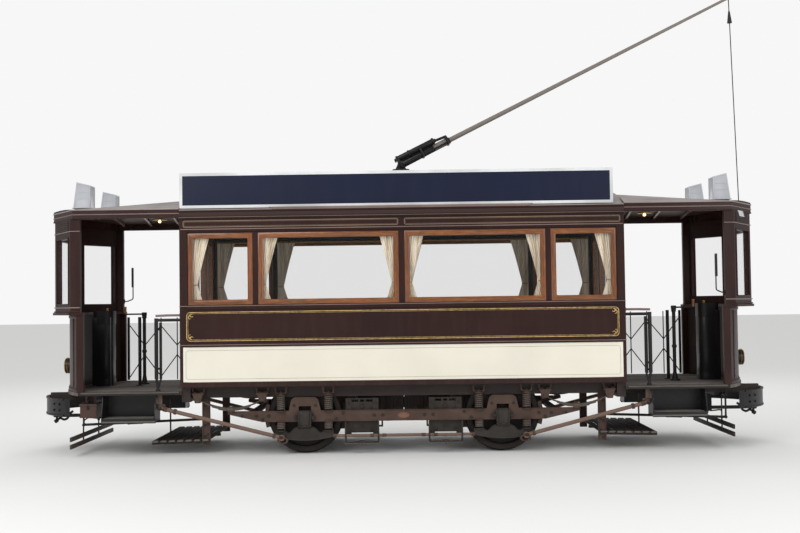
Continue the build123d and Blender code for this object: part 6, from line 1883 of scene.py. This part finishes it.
def bulkhead_panels():
    """Glazing beads, panel mouldings and a door casing on the platforms' side of the bulkheads."""
    parts = []
    face = half_saloon - 0.005
    for sign in SIDES:
        for low, high in ((-0.880, -0.380), (0.380, 0.880)):
            parts += wall_frame(sign, face, low, high, 1.744, 2.530, 0.022, 0.009)
            parts += wall_frame(sign, face, low, high, 1.040, 1.660, 0.016, 0.007)
            parts += wall_frame(sign, face, low + 0.05, high - 0.05, 1.090, 1.610, 0.010, 0.005)
        for low, high in ((-0.352, -0.322), (0.322, 0.352)):
            run = [(sign * face, low), (sign * face, high)]
            parts.append(moulding(run if sign > 0 else run[::-1], 0.012, 0.892, 2.680, 0.3))
        run = [(sign * face, -0.322), (sign * face, 0.322)]
        parts.append(moulding(run if sign > 0 else run[::-1], 0.012, 2.652, 2.680, 0.3))
    fitted(parts, "bulkhead_mouldings", "varnished_wood", finish="rail_wood")


def door_leaves():
    """Sliding doors: stiles and rails, a raised panel, glazing beads, a pull and two hangers."""
    for end, sign in (("left", -1), ("right", 1)):
        def slab(x_low, x_high, y_low, y_high, z_low, z_high, soft):
            return ease(block((sign * x_low, y_low, z_low), (sign * x_high, y_high, z_high)), soft, 2)

        wood, metal, pull = [], [], []
        for low, high in ((-0.350, -0.250), (0.250, 0.350)):
            wood.append(slab(2.462, 2.492, low, high, 0.896, 2.680, 0.002))
        for low, high in ((0.896, 1.030), (1.610, 1.734), (2.570, 2.680)):
            wood.append(slab(2.4625, 2.4915, -0.251, 0.251, low, high, 0.002))
        panel = block((sign * 2.471, -0.252, 1.028), (sign * 2.483, 0.252, 1.612))
        pick(panel, lambda face: abs(face.normal.x) > 0.9)
        bpy.ops.mesh.inset(thickness=0.040, use_individual=True)
        bpy.ops.mesh.inset(thickness=0.016, depth=0.005, use_individual=True)
        done()
        wood.append(panel)
        for low, high in ((1.730, 1.742), (2.562, 2.574)):
            wood.append(slab(2.468, 2.486, -0.250, 0.250, low, high, 0.003))
        for low, high in ((-0.254, -0.242), (0.242, 0.254)):
            wood.append(slab(2.468, 2.486, low, high, 1.734, 2.570, 0.003))
        for y in (-0.260, 0.260):
            metal.append(slab(2.450, 2.4625, y - 0.025, y + 0.025, 2.620, 2.7305, 0.002))
            metal.append(slab(2.462, 2.488, y - 0.025, y + 0.025, 2.7105, 2.7305, 0.002))
            for z in (2.640, 2.662):
                metal.append(bolt((sign * 2.450, y, z), (-sign, 0, 0), 0.007, 0.005))
        y = sign * 0.300
        grip = ((2.464, 1.400), (2.432, 1.414), (2.432, 1.546), (2.464, 1.560))
        grip = rounded([(sign * x, y, z) for x, z in grip], 0.012, 4)
        pull.append(bent_rod(grip, 0.007, 12))
        for z in (1.400, 1.560):
            pull.append(ease(round_bar((sign * 2.459, y, z), (sign * 2.463, y, z), 0.016, 20), 0.001, 1))
        body = f"saloon_door_{end}"
        name = f"door_leaf_{end}"
        fitted(wood, name, "varnished_wood", body=body, finish="stile_wood", replaces=[body])
        fitted(metal, f"door_hangers_{end}", "dark_iron", body=body)
        fitted(pull, f"door_pull_{end}", "brass", body=body)


fit_sashes()
hang_curtains()
line_panels()
coil_springs()
leaf_springs()
bracket_castings()
axle_box_castings()
truck_trim()
oval_plates()
strap_trim()
wheel_faces()
gate_lattices()
controllers()
brake_columns()
end_boxes()
sign_frames()
trolley_springs()
trolley_stand()
trolley_rope()
bulkhead_panels()
door_leaves()
bumper_trim()
brake_rods()
life_guards()
guard_trim()
step_trim()
small_fittings()
resistance_boxes()
belt_beads()
roof_edges()
canopy_ribs()
screen_trim()
dash_trim()


# Floor and light


def lay_floor():
    """A wide pale floor, which isn't a piece of the tram."""
    bpy.ops.mesh.primitive_plane_add(size=160, location=(0, 30, 0))
    floor = bpy.context.object
    floor.name = "floor"
    look = Finish("floor_look", Roughness=0.95, Specular_IOR_Level=0.1)
    look.shader.inputs["Base Color"].default_value = card(236, 236, 235)
    floor.data.materials.append(look.material)


def light_studio():
    """Soft light from all round, paler as a backdrop and dimmer in shine, and three lamps."""
    world = bpy.data.worlds.new("studio")
    world.use_nodes = True
    bpy.context.scene.world = world
    tree = world.node_tree
    tree.nodes.clear()
    rays = tree.nodes.new("ShaderNodeLightPath")
    seen = tree.nodes.new("ShaderNodeMath")
    seen.operation = "MAXIMUM"
    tree.links.new(rays.outputs["Is Camera Ray"], seen.inputs[0])
    tree.links.new(rays.outputs["Is Transmission Ray"], seen.inputs[1])
    skies = []
    for grey, strength in ((1, 0.76), (0.93, 1.0), (1, 0.30)):
        sky = tree.nodes.new("ShaderNodeBackground")
        sky.inputs["Color"].default_value = (grey, grey, grey, 1)
        sky.inputs["Strength"].default_value = strength
        skies.append(sky)
    soft, pale, dim = skies
    gloss = tree.nodes.new("ShaderNodeMixShader")
    tree.links.new(rays.outputs["Is Glossy Ray"], gloss.inputs[0])
    tree.links.new(soft.outputs[0], gloss.inputs[1])
    tree.links.new(dim.outputs[0], gloss.inputs[2])
    mix = tree.nodes.new("ShaderNodeMixShader")
    out = tree.nodes.new("ShaderNodeOutputWorld")
    tree.links.new(seen.outputs[0], mix.inputs[0])
    tree.links.new(gloss.outputs[0], mix.inputs[1])
    tree.links.new(pale.outputs[0], mix.inputs[2])
    tree.links.new(mix.outputs[0], out.inputs["Surface"])
    for name, spot, aim, size, power in (
        ("key", (-7, -11, 9), (0, 0, 1.6), 9, 760),
        ("fill", (9, -9, 5), (0, 0, 1.4), 8, 340),
        ("back", (0, 9, 8), (0, 0, 2.0), 9, 360),
    ):
        data = bpy.data.lights.new(name, "AREA")
        data.shape = "DISK"
        data.size = size
        data.energy = power
        lamp = bpy.data.objects.new(name, data)
        lamp.location = spot
        lamp.rotation_euler = (Vector(aim) - Vector(spot)).to_track_quat("-Z", "Y").to_euler()
        bpy.context.scene.collection.objects.link(lamp)


lay_floor()
light_studio()
bpy.context.scene.view_settings.view_transform = "Standard"
